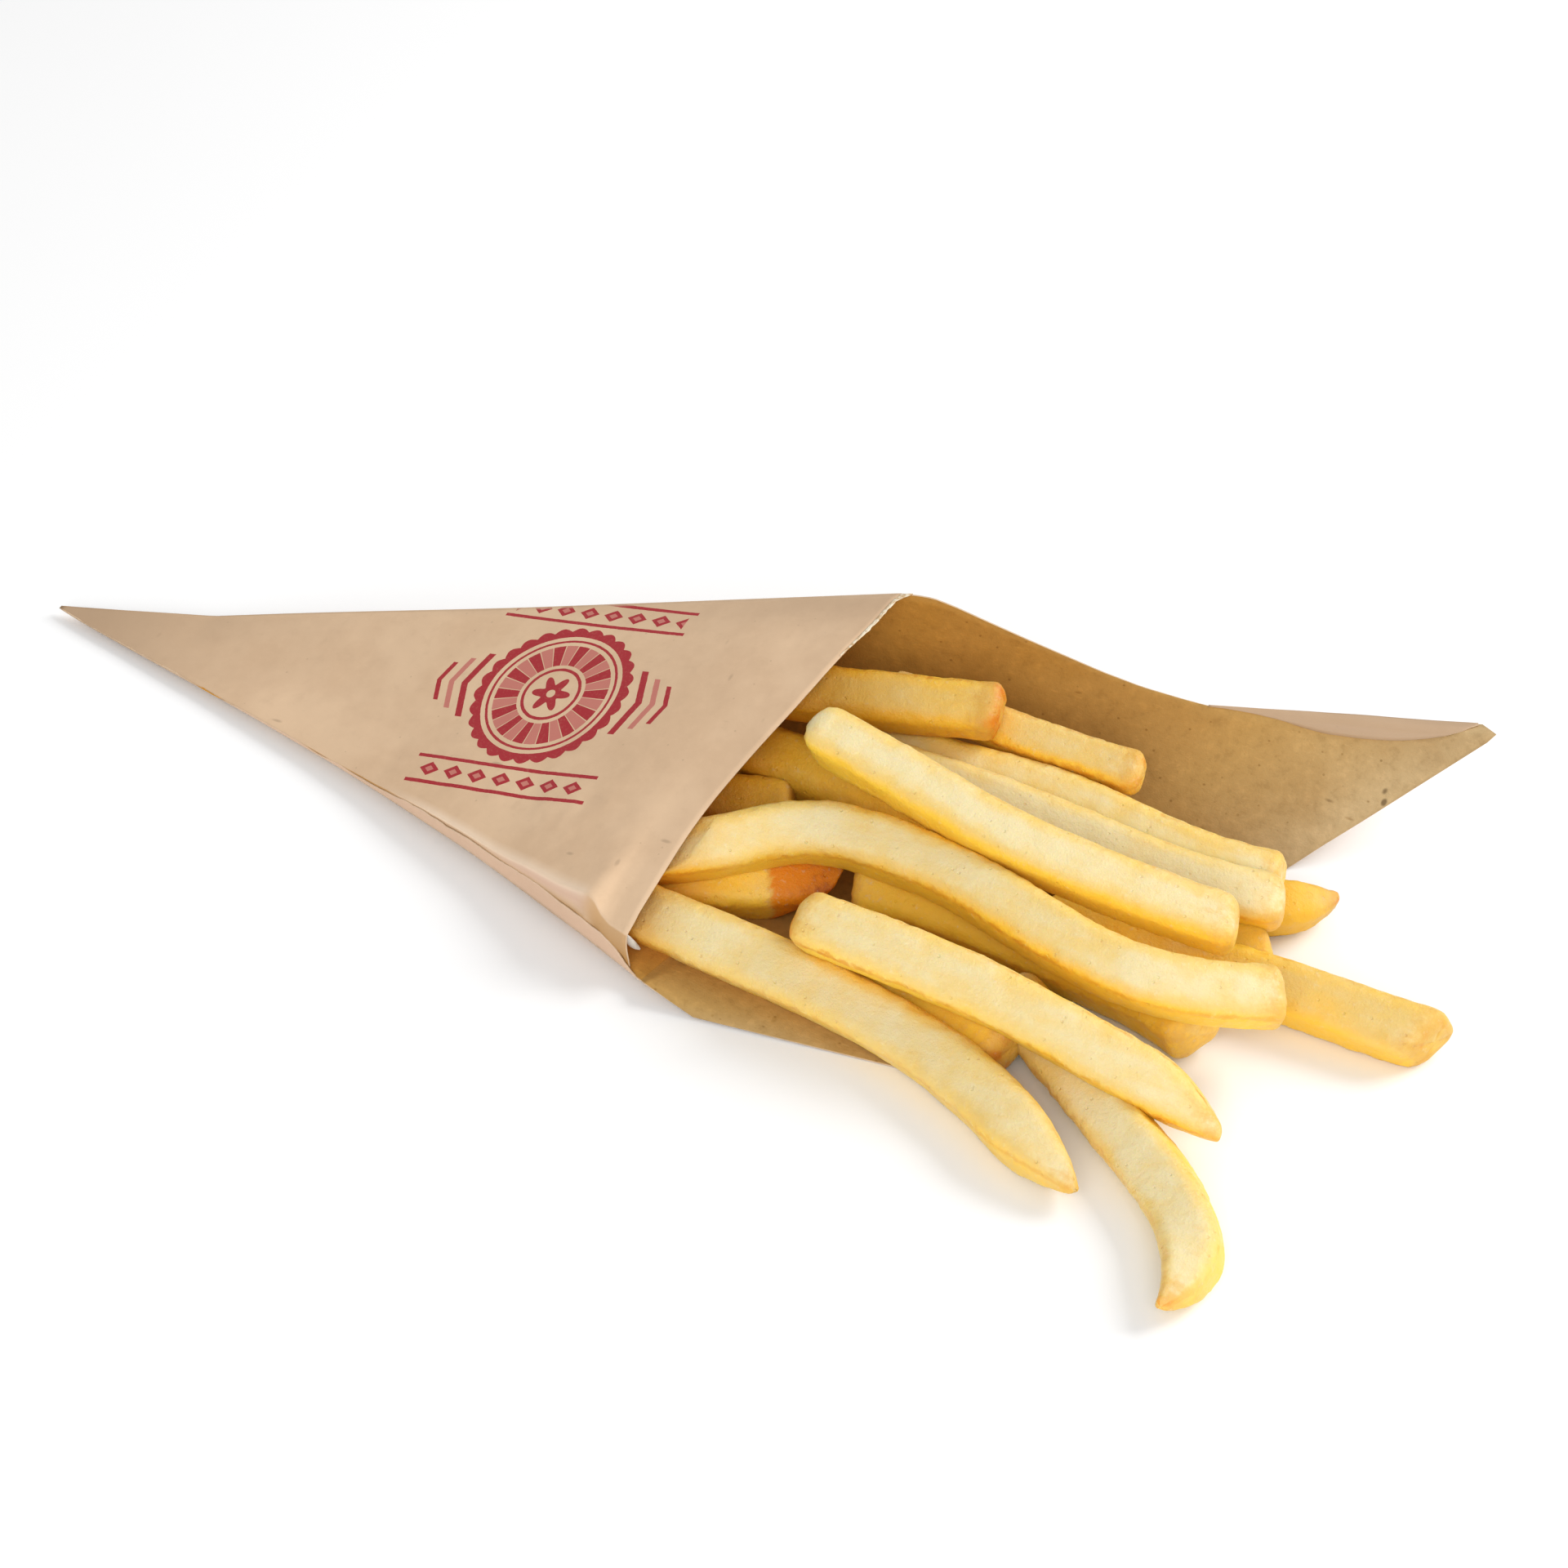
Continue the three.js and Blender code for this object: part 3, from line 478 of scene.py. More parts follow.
def fry_material(name="fried_potato"):
    m = Mat(name)
    p = m.object_mm()
    along = m.attr("along", vector=True)
    streak = m.noise(along, 1.0, 3, 0.6, 0.3)
    patch = m.noise(p, 0.16, 3, 0.5)
    fine = m.noise(p, 1.1, 4, 0.62)
    blot = m.noise(p, 0.45, 2, 0.5)
    # the golden colour carries crust colour and painted shade on the flanks and between fries
    g = m.add(m.attr("gold_and_shade"), m.about(patch, 0.26), m.about(streak, 0.30), m.about(blot, 0.12))
    col = m.mix(m.span(g, 0.0, 0.32), CREAM, YELLOW)
    col = m.mix(m.span(g, 0.26, 0.66), col, GOLD)
    col = m.mix(m.span(g, 0.68, 1.10), col, AMBER)
    # crisp lines on the long edges, broken up
    d = m.add(m.attr("rimd"), m.about(fine, 1.9), m.about(blot, 1.9))
    line = m.mul(m.span(d, 0.95, 0.0), m.attr("rim"))
    col = m.mix(m.mul(line, 0.72), col, srgb(228, 148, 34, 0.90))
    b = m.add(m.attr("burn"), m.about(fine, 0.55), m.about(blot, 0.45), -0.06)
    col = m.mix(m.span(b, 0.0, 0.42, 0.0, 0.85), col, tone(238, 188, 86))
    col = m.mix(m.span(b, 0.36, 0.90, 0.0, 0.92), col, AMBER)
    col = m.mix(m.span(b, 0.95, 1.40), col, BROWN)
    # pale specks: a painted highlight of oily sheen
    col = m.mix(m.mul(m.span(fine, 0.58, 0.74), 0.30), col, tone(253, 242, 208))
    # painted shade: fries darker and more golden inside the cone's mouth
    col = m.mix(m.attr("cone_shade"), col, srgb(226, 182, 80), "MULTIPLY")
    # painted shade: a dull darkening set per fry, strongest on F1's root
    col = m.mix(m.attr("shade"), col, srgb(208, 186, 142), "MULTIPLY")
    pits = m.voronoi(p, 0.75)
    pit = m.mul(m.span(pits.outputs["Distance"], 0.20, 0.08), m.math("GREATER_THAN", m.xyz(pits.outputs["Color"])[0], 0.7))
    height = m.add(m.mul(fine, 0.6), m.mul(m.noise(p, 3.6, 3, 0.6), 0.25), m.mul(pit, -0.4))
    rough = m.span(m.noise(p, 0.5, 3, 0.6), 0.35, 0.65, 0.36, 0.56)
    nrm = m.bump(height, 0.00046, 0.75)
    return m.finish(col, rough, nrm, Subsurface_Weight=0.42, Subsurface_Radius=(1.0, 0.72, 0.28), Subsurface_Scale=0.0020, Specular_IOR_Level=0.34)


# ------------------------------------------------------------ the paper cone
def near_fold(s):
    p = lerp(APEX, NEAR_MOUTH, s)
    d = (NEAR_MOUTH - APEX) / np.linalg.norm(NEAR_MOUTH - APEX)
    bow = NEAR_BOW * math.sin(math.pi * float(np.clip((s - 0.04) / 0.97, 0, 1)) ** 1.15)
    return p + np.array([-d[1], d[0]]) * bow


def far_fold(s):
    return lerp(APEX, FAR_KINK, s / KINK_AT) if s < KINK_AT else lerp(FAR_KINK, FAR_MOUTH, (s - KINK_AT) / (1 - KINK_AT))


def far_height(s):
    if s < KINK_AT:
        return lerp(0.15, KINK_HEIGHT, s / KINK_AT)
    return lerp(KINK_HEIGHT, MOUTH_HEIGHT, (s - KINK_AT) / (1 - KINK_AT)) - FAR_SAG * float(sm(0.25, 0.6, s))


def table(x, xs, ys):
    return float(np.interp(x, xs, ys))


def ridge_height(s):
    """Height of the front panel's near edge over the near fold."""
    return table(s, [0, .05, .3, .45, .545, .614, .683, .751, .778, .806, .827, .861, .888, .905, .917, .926, .935, .949, .979, 1.0],
                 [.1, .2, .35, .65, 1.3, 2.4, 3.3, 4.0, 4.6, 5.5, 6.0, 6.8, 7.8, 8.6, 9.0, 8.5, 7.1, 6.4, 6.8, 6.8])


def ridge_smooth(s):
    return table(s, [0, .05, .3, .45, .545, .614, .683, .751, .806, .861, .905, 1.0], [.1, .2, .35, .65, 1.3, 2.4, 3.3, 4.0, 5.3, 6.5, 6.9, 6.9])


def band_height(s):
    """Height of the back sheet's torn upper edge at the near side."""
    return table(s, [0, .05, .3, .48, .545, .614, .683, .751, .792, .827, .888, .935, .949, .962, .971, .980, .989, 1.0],
                 [.1, .15, .25, .5, 1.0, 1.75, 2.5, 3.0, 3.5, 3.8, 3.6, 3.6, 3.2, 2.5, 1.7, .6, .1, .1])


def crack(s):
    """Where the seam stands open a little."""
    return table(s, [0, .22, .27, .32, .42, .45, .485, .50, .54, .585, .60, .62], [0, 0, 1, 0, 0, 1, .1, .5, 1, .7, .1, 0])


def bulge(s):
    return PANEL_BULGE * float(sm(0.08, 0.85, s))


VIEW_LIFT = np.array([0.640, -1.108, 1.0])   # along this line the near edge hovers over the table


def lift_at(s):
    return table(s, [0, .12, .3, .6, .9, 1.0], [1.3, 1.3, 1.7, 2.3, 2.5, 2.3])


def lifted(p, s, k):
    """k is the share of the width from the near fold; the near side hovers over the table."""
    edge = 1 - float(sm(0.0, 0.42, k))
    all_over = 1 - float(sm(0.10, 0.30, s))
    h = lift_at(s) * (edge + (1 - edge) * all_over)
    return np.asarray(p, float) + VIEW_LIFT * h


def frame_at(s):
    a, b = near_fold(s), far_fold(s)
    W = max(1e-3, float(np.linalg.norm(b - a)))
    return a, (b - a) / W, W


def place(s, w, z):
    a, d, W = frame_at(s)
    p = a + d * w
    return lifted([p[0], p[1], z], s, min(1, max(0, w / W)))


def wall_point(s, t):
    """The back sheet at station s; t from 0, the near fold, to 1, the far fold."""
    a, d, W = frame_at(s)
    H = far_height(s)
    out = 1.0 if s < KINK_AT else lerp(1.0, 1.07, float(sm(KINK_AT, 0.6, s)))
    if t < 0.44:
        w, z = t / 0.44 * FLAT_SHARE * W, 0.0
    else:
        q = (t - 0.44) / 0.56
        u = 1 - q
        k = (u ** 3, 3 * u * u * q, 3 * u * q * q, q ** 3)
        pts = ((FLAT_SHARE * W, 0), (0.86 * W, 0), (out * W, 0.4 * H), (W, H))
        w = sum(c * p[0] for c, p in zip(k, pts))
        z = sum(c * p[1] for c, p in zip(k, pts))
    return place(s, w, z + SHEET / 2)


def panel_mouth(v):
    return 1.0 - 0.021 * float(sm(0.28, 0.78, v)) + 0.0025 * float(sm(0.02, 0.12, v)) * (1 - float(sm(0.12, 0.3, v)))


def panel_point(s, v):
    """The front panel; v from 0, the far fold, to 1, its near edge."""
    s = s * panel_mouth(v)
    a, d, W = frame_at(s)
    H, B = far_height(s), ridge_smooth(s)
    z = lerp(H, B, v) + bulge(s) * 4 * v * (1 - v) * (H / MOUTH_HEIGHT) + (ridge_height(s) - B) * v ** 9
    return place(s, W * (1 - v), z)


def lip_point(s, l):
    """The front panel's near edge turned down behind the torn band; l from 0, its ridge, to 1."""
    s = s * panel_mouth(1.0)
    B = ridge_height(s)
    low = max(0.12, band_height(s) - 0.9 - 1.2 * float(sm(0.6, 0.8, s)))
    low = lerp(low, 0.14, float(sm(0.925, 0.965, s)))
    belly = 0.55 * float(sm(0.70, 0.86, s)) + 0.65 * math.exp(-((s - 0.912) / 0.016) ** 2)
    w = -belly * math.sin(math.pi * min(1.0, l * 1.05)) * (1 - l) + 0.42 * l ** 1.3
    z = lerp(B, low, l)
    return place(s, w, z)


def band_point(s, b):
    """The back sheet's margin turned up at the near side; b from 0, the fold, to 1, its torn edge."""
    h = band_height(s)
    w = -0.22 * math.sin(math.pi * 0.5 * b) * min(1.0, h / 2)
    return place(s, w, SHEET / 2 + h * b)


def far_edge_wave(u):
    """The tongue's far edge: a shoulder just past the mouth, then a slight sag."""
    return table(u, [0, .05, .1, .17, .27, .4, .53, .66, .79, .92, 1], [0, .75, 1.25, 1.15, .7, .15, -.3, -.75, -.85, -.4, 0])


def tongue_point(t, v):
    """The back sheet beyond the mouth; v from 0, the mouth, to 1, its front edge."""
    half = SHEET / 2
    m = wall_point(1.0, t)
    if t < 0.14:
        e = np.append(lerp(TONGUE_CORNER, TONGUE_NEAR, t / 0.14), half)
    else:
        u = (t - 0.14) / 0.86
        r = 0.62
        if u < r:
            e = np.append(lerp(TONGUE_NEAR, TONGUE_RISE, u / r), half)
        elif u < 0.96:
            k = (u - r) / (0.96 - r)
            e = np.append(lerp(TONGUE_RISE, TONGUE_PEAK, k), half + (FAR_HEIGHT - 0.2 - half) * k)
        else:
            e = np.append(lerp(TONGUE_PEAK, TONGUE_FAR, (u - 0.96) / 0.04), FAR_HEIGHT)
    far = np.append(TONGUE_BEND, BEND_HEIGHT)
    end = np.append((FAR_MOUTH + TONGUE_FAR) / 2, (far_height(1.0) + FAR_HEIGHT) / 2)
    mid = (m + e) / 2 + t ** 3 * (far - end)
    rnd = m * (1 - v) * (1 - 2 * v) + mid * 4 * v * (1 - v) + e * v * (2 * v - 1)
    bent = lerp(m, mid, v * 2) if v < 0.5 else lerp(mid, e, v * 2 - 1)
    p = lerp(rnd, bent, t ** 4)
    if v < 0.5:
        p = p + np.array([0.2, 0.1, 1.0]) * far_edge_wave(v * 2) * t ** 6
    p[2] = max(half, p[2])
    # the near edge hovers a little
    h = 0.8 * (1 - float(sm(0, 0.16, t))) * (1 - 0.6 * v) * float(sm(0.0, 0.1, v))
    return p + VIEW_LIFT * h


LIP = [1.0, 0.86, 0.72, 0.58, 0.44, 0.32, 0.20, 0.10, 0.04]


def build_paper():
    lip = LIP
    vs = np.r_[1.0, 0.994, 0.985, 0.972, np.linspace(0.955, 0.04, 46), 0.015]
    ts = np.r_[np.linspace(1.0, 0.44, 36), np.linspace(0.44, 0.14, 14)[1:], np.linspace(0.14, 0.0, 9)[1:]]
    bs = [0.2, 0.4, 0.6, 0.8, 0.93, 1.0]
    ss = np.r_[0.004, 0.012, np.linspace(0.02, 0.60, 56), np.linspace(0.605, 0.985, 78), 0.9925, 1.0]
    nl, nv, nt, nb = len(lip), len(vs), len(ts), len(bs)
    rows, keep = [], dict(tip=[], gold_and_shade=[], deep=[], pink=[], painted_highlight=[])
    for s in ss:
        row = [lip_point(s, l) for l in lip]
        row += [panel_point(s, v) for v in vs]
        row += [wall_point(s, t) for t in ts]
        row += [band_point(s, b) for b in bs]
        rows.append(row)
        # tip: painted shade, darker towards the cone's tip and, on the panel, by the far fold
        tip = 1 - float(sm(0.03, 0.40, s))
        gap = crack(s)
        corner = float(sm(0.915, 0.955, s))                 # where the lip runs into the inner side
        rise = float(sm(0.72, 0.84, s)) * (1 - corner)
        keep["tip"] += [tip] * nl + [max(tip, 0.55 * float(sm(0.80, 1.0, 1 - v)) * float(sm(0.5, 0.95, s))) for v in vs] + [tip] * (nt + nb)
        # lip colour: painted shade in the open seam and on the lower lip, the inner side's tan at the corner
        keep["gold_and_shade"] += [max(0.95 * gap, float(sm(0.30, 0.85, l)) * 0.85 * (1 - corner), corner * (0.55 + 0.4 * l)) for l in lip] + [0.0] * (nv + nt + nb)
        keep["pink"] += [0.9 * rise * (1 - float(sm(0.15, 0.6, l))) for l in lip] + [0.0] * (nv + nt) + [0.55 * (1 - tip)] * nb
        edge = float(sm(0.56, 0.68, s)) * (1 - float(sm(0.922, 0.94, s)))
        # painted highlight along the ridge, a lighter line on the band's torn edge
        keep["painted_highlight"] += [0.75 * edge * (1 - float(sm(0.0, 0.16, l))) for l in lip] + [0.75 * edge * float(sm(0.978, 0.992, v)) for v in vs] + [0.0] * (nt + nb - 1) + [0.5]
        # inside the cone: full painted shade and bounce light ('deep')
        keep["deep"] += [1.5 - 0.35 * float(sm(0.93, 1.0, s))] * len(row)
    cols = len(rows[0])
    V = np.array(rows).reshape(-1, 3)
    Q = []
    for i in range(len(ss) - 1):
        for j in range(cols - 1):
            a = i * cols + j
            Q.append((a, a + cols, a + cols + 1, a + 1))
    # the tongue, sharing the mouth row's wall vertices
    vt = np.r_[np.linspace(0, 0.12, 12)[1:], np.linspace(0.12, 1, 54)[1:]]
    base = (len(ss) - 1) * cols + nl + nv
    prev = [base + k for k in range(nt)]
    extra = []
    for v in vt:
        row = []
        for t in ts:
            row.append(len(V) + len(extra))
            extra.append(tongue_point(float(t), float(v)))
            for k in ("tip", "gold_and_shade", "pink", "painted_highlight"):
                keep[k].append(0.0)
            # painted shade and bounce light on the tongue, strongest by the mouth
            far = float(np.interp(v, [0, .35, .6, .8, .95], [1.1, .84, .50, .24, 0]))
            near = float(np.interp(v, [0, .2, .6, 1], [.8, .65, .50, .3]))
            keep["deep"].append(lerp(near, far, float(sm(0.1, 0.5, t))))
        for k in range(nt - 1):
            Q.append((prev[k], row[k], row[k + 1], prev[k + 1]))
        prev = row
    V = np.vstack([V, np.array(extra)])
    keep = {k: np.array(v) for k, v in keep.items()}
    # uneven edges and gentle waves
    n = vertex_normals(V, Q)
    idx = np.arange(len(V))
    cone = idx < len(ss) * cols
    col_of = np.where(cone, idx % cols, nl + nv + (idx - len(ss) * cols) % nt)
    s_of = np.where(cone, ss[np.minimum(idx // cols, len(ss) - 1)], 1.0)
    t_of = np.full(len(V), 0.0)
    is_wall = (col_of >= nl + nv) & (col_of < nl + nv + nt)
    t_of[is_wall] = ts[col_of[is_wall] - nl - nv]
    flat = V * np.array([1, 1, 0.2])
    rag = noise(flat, 1.3, 5, 3) * 0.26 + noise(flat, 4.0, 9, 2) * 0.20
    band = cone & (col_of >= nl + nv + nt)
    share = np.zeros(len(V))
    share[band] = np.array(bs)[col_of[band] - nl - nv - nt]
    V[:, 2] += rag * share ** 3 * sm(0.35, 0.6, s_of) * band
    # where the seam is open the ridge stands off the band, elsewhere they meet
    gap = np.array([crack(s) for s in s_of])
    small = 1 - sm(0.58, 0.66, s_of)
    top = np.array([ridge_height(s) for s in s_of])
    low = np.array([band_height(s) for s in s_of])
    V[:, 2] += band * share ** 2 * small * ((top - low) * (1 - gap) * 0.8 - 0.25 * gap)
    ridge = cone & (col_of >= nl) & (col_of < nl + 4)
    V[ridge, 2] += 0.30 * rag[ridge]
    body = cone & (col_of >= nl + 4) & (col_of < nl + nv - 1)
    wave = noise(V, 22.0, 31, 2) * 0.30 + noise(V, 7.0, 37, 2) * 0.07
    crush = noise(V * np.array([1, 0.6, 1]), 3.4, 61, 2) * 0.24 * np.exp(-((s_of - 0.80) / 0.14) ** 2) * sm(0.0, 1.0, (col_of < nl + 14) * 1.0)
    V[body] += n[body] * (wave * sm(0, 0.15, s_of) + crush)[body][:, None]
    wall = is_wall & ((col_of >= nl + nv + 2) | ~cone)
    wv = noise(V, 16.0, 41, 2) * 0.28 + noise(V, 5.0, 43, 2) * 0.06
    V[wall, 2] += (np.maximum(wv, -0.05) * sm(0.3, 3.0, V[:, 2]) * (1 - 0.95 * sm(0.72, 0.88, t_of)))[wall]
    # panel coordinates for the print
    near1, far1 = near_fold(0.5), far_fold(0.5)
    mid_dir = np.append((near1 + far1) / 2 - APEX, 9.0)
    mid_dir /= np.linalg.norm(mid_dir)
    side = np.append(FAR_MOUTH - NEAR_MOUTH, MOUTH_HEIGHT - 8.0)
    side = side - mid_dir * side.dot(mid_dir)
    side /= np.linalg.norm(side)
    rel = V - np.append(APEX, 1.0)
    on = (cone & (col_of >= nl) & (col_of < nl + nv)).astype(float)
    keep["pan"] = np.stack([rel @ mid_dir, rel @ side, on], 1)
    top, faces, kind, src = thicken(V, Q, SHEET)
    return top, faces, kind, {k: v[src] for k, v in keep.items()}


def build_flap():
    """The strip of the sheet beyond the far fold, folded over onto the tongue."""
    n, k = 72, 10
    V, Q = [], []

    def edge(v):
        return tongue_point(1.0, v)

    for i in range(n + 1):
        u = i / n
        v = lerp(0.5, 0.992, u)
        p = edge(v)
        q = edge(min(1, v + 0.01)) - edge(max(0, v - 0.01))
        q /= np.linalg.norm(q)
        inward = np.array([q[1], -q[0], 0])
        inward /= np.linalg.norm(inward)
        # widest past the middle, running out at both ends
        width = table(u, [0, .06, .12, .19, .25, .31, .38, .44, .5, .56, .63, .69, .75, .81, .88, .94, 1.0], [.1, .22, .42, .7, 1.05, 1.5, 1.95, 2.3, 2.55, 2.8, 3.0, 3.1, 3.1, 3.0, 2.75, 2.05, .5])
        for j in range(k + 1):
            w = j / k * width
            drop = under_flap(p, w, inward, v)
            V.append(p + inward * w + np.array([0, 0, drop + 0.20 + 0.38 * math.sin(math.pi * min(1, j / k * 1.1) * 0.5) * min(1, width / 3)]))
    for i in range(n):
        for j in range(k):
            a = i * (k + 1) + j
            Q.append((a, a + 1, a + k + 2, a + k + 1))
    V = np.array(V)
    V[:, 2] += 0.10 * noise(V, 9.0, 91, 2)
    return thicken(V, Q, SHEET)


def under_flap(p, w, inward, v):
    """How far the tongue falls away under the flap at w from its far edge."""
    q = np.array([tongue_point(float(t), v) for t in FLAP_T]) - p
    d = q[:, :2] @ inward[:2]
    order = np.argsort(d)
    return float(np.interp(w, d[order], q[order, 2]))


FLAP_T = np.linspace(1.0, 0.66, 18)


def torn_strip():
    """The pale torn edge of the front panel at the far side of the mouth."""
    n, k = 46, 4
    V, Q = [], []
    for i in range(n + 1):
        u = i / n
        v = 0.24 * u
        wide = table(u, [0, .05, .12, .3, .6, .85, 1], [2.0, 1.4, .62, .55, .62, .4, .05])
        a = panel_point(1.0, v) + np.array([0, 0, 0.02])
        step = panel_point(1.0, v) - panel_point(0.99, v)
        step /= np.linalg.norm(step)
        rag = 1 + 0.35 * float(noise([[u * 40, 3.0, 1.0]], 2.2, 12, 2)[0])
        for j in range(k + 1):
            V.append(a + step * (j / k * wide * rag - 0.15) + np.array([0, 0, 0.05 * math.sin(math.pi * j / k)]))
    for i in range(n):
        for j in range(k):
            a = i * (k + 1) + j
            Q.append((a, a + k + 1, a + k + 2, a + 1))
    return thicken(np.array(V), Q, 0.16)


def pale_bead():
    """A small pale bead at the panel's near corner."""
    a, b = np.array([125.0, -27.6, 7.35]), np.array([126.3, -25.9, 3.9])
    n, m = 16, 14
    V, Q = [], []
    ax = (b - a) / np.linalg.norm(b - a)
    e1 = np.cross(ax, [0.5, -0.7, 0.5])
    e1 /= np.linalg.norm(e1)
    e2 = np.cross(ax, e1)
    for i in range(n + 1):
        u = i / n
        r = 0.52 * math.sin(math.pi * min(1, max(0, u * 0.93 + 0.05))) ** 0.6 + 0.02
        c = lerp(a, b, u) + e1 * 0.22 * math.sin(math.pi * u)
        for j in range(m):
            th = 2 * math.pi * j / m
            V.append(c + e1 * r * math.cos(th) + e2 * 0.7 * r * math.sin(th))
    V = np.array(V)
    V += vertex_grid_normals(V, n + 1, m) * (0.07 * noise(V, 0.7, 19, 2))[:, None]
    F = [(i * m + j, i * m + (j + 1) % m, (i + 1) * m + (j + 1) % m, (i + 1) * m + j) for i in range(n) for j in range(m)]
    V = np.vstack([V, V[:m].mean(0), V[-m:].mean(0)])
    c0, c1 = len(V) - 2, len(V) - 1
    F += [(c0, (j + 1) % m, j) for j in range(m)] + [(c1, n * m + j, n * m + (j + 1) % m) for j in range(m)]
    return V, F


def vertex_grid_normals(V, rows, m):
    F = [(i * m + j, i * m + (j + 1) % m, (i + 1) * m + (j + 1) % m, (i + 1) * m + j) for i in range(rows - 1) for j in range(m)]
    return vertex_normals(V, F)


# ------------------------------------------------------------------ the fries
def centreline(f, step=0.5):
    """Points (x, y, z) along a fry, with the stretch inside the cone first; also that stretch's length."""
    L, n = f["len"], int(f["len"] / step)
    t = f["turn"]
    at = (np.arange(len(t)) + 0.5) / len(t)
    x, y = f["at"]
    heading = f["head"]
    pts = []
    for i in range(n + 1):
        u = i / n
        z = lerp(f["z"][0], f["z"][1], u) + f["z"][2] * 4 * u * (1 - u)
        pts.append((x, y, z))
        k = float(np.interp(u + 0.5 / n, at, t)) / n
        h = math.radians(heading + k / 2)
        x += math.cos(h) * L / n
        y += math.sin(h) * L / n
        heading += k
    inside = 0.0
    if f["deep"]:
        length, z1, across = f["deep"]
        p0 = np.array(f["at"], float)
        a, d, W = frame_at(station(*p0) - length / 136.0)
        p2 = a + d * W * across
        h = math.radians(f["head"])
        p1 = p0 - np.array([math.cos(h), math.sin(h)]) * length * 0.4
        m = int(length / step)
        lead = []
        for i in range(m, 0, -1):
            u = i / m
            q = p0 * (1 - u) ** 2 + p1 * 2 * u * (1 - u) + p2 * u * u
            lead.append((q[0], q[1], lerp(f["z"][0], z1, u)))
        pts = lead + pts
        inside = length
    return np.array(pts), inside


def section(nside=6, ncorner=6, r=0.5):
    """Unit rounded square: points (a, b), the outward normal's signed angle from the top, the way from the nearest
    corner, the way round."""
    pts, slope, way = [], [], []
    half = (1 - r)
    for q in range(4):
        th = math.pi / 2 * q
        c, s = math.cos(th), math.sin(th)
        for i in range(nside):
            y = lerp(-half, half, i / (nside - 1))
            pts.append((c * 1 - s * y, s * 1 + c * y))
            slope.append(90 - 90 * q)
            way.append(half - abs(y) + r * math.pi / 4)
        for i in range(1, ncorner + 1):
            ph = math.pi / 2 * i / (ncorner + 1)
            x, y = half + r * math.cos(ph), half + r * math.sin(ph)
            pts.append((c * x - s * y, s * x + c * y))
            slope.append(90 - 90 * q - math.degrees(ph))
            way.append(r * abs(ph - math.pi / 4))
    pts = np.array(pts)
    round_ = np.r_[0, np.cumsum(np.linalg.norm(np.diff(pts, axis=0), axis=1))]
    return pts, np.array(slope, float), np.array(way), round_


VIEW = (0.394, -0.682, 0.616)    # towards the main view


def facing(T, short):
    """The roll that turns the broad face towards the main view, short of it by some degrees."""
    R = np.array([T[1], -T[0]])
    a = math.degrees(math.atan2(VIEW[0] * R[0] + VIEW[1] * R[1], VIEW[2]))
    return -0.92 * (a - short)


def floor_under(x, y):
    """Height of what a loose fry lies on."""
    return 0.0 if (x > 205 or y < -30) else SHEET + 0.02


def station(x, y):
    """How far out of the cone a point lies: 1 at the mouth."""
    mid = (NEAR_MOUTH + FAR_MOUTH) / 2 - APEX
    return ((x - APEX[0]) * mid[0] + (y - APEX[1]) * mid[1]) / mid.dot(mid)


def tuck(P):
    """Keeps what lies inside the cone under the front panel and between the folds."""
    for i in range(len(P)):
        x, y, z = P[i]
        s = station(x, y)
        if s > 1.03:
            continue
        for _ in range(2):
            a, d, W = frame_at(min(1.0, max(0.1, s)))
            n = np.array([d[1], -d[0]])
            s += float((P[i, :2] - a) @ n) / 136.0
        if s > 0.995:
            continue
        a, d, W = frame_at(s)
        w = float((P[i, :2] - a) @ d)
        w = min(max(w, 0.8), 0.90 * W if z < 3 else W - 1.0)
        v = 1 - w / W
        H, B = far_height(s), ridge_height(s)
        top = lerp(H, B, v) + bulge(s) * 4 * v * (1 - v) * (H / MOUTH_HEIGHT)
        q = a + d * w
        P[i] = (q[0], q[1], max(0.3, min(z, top - 0.7)))
    return P


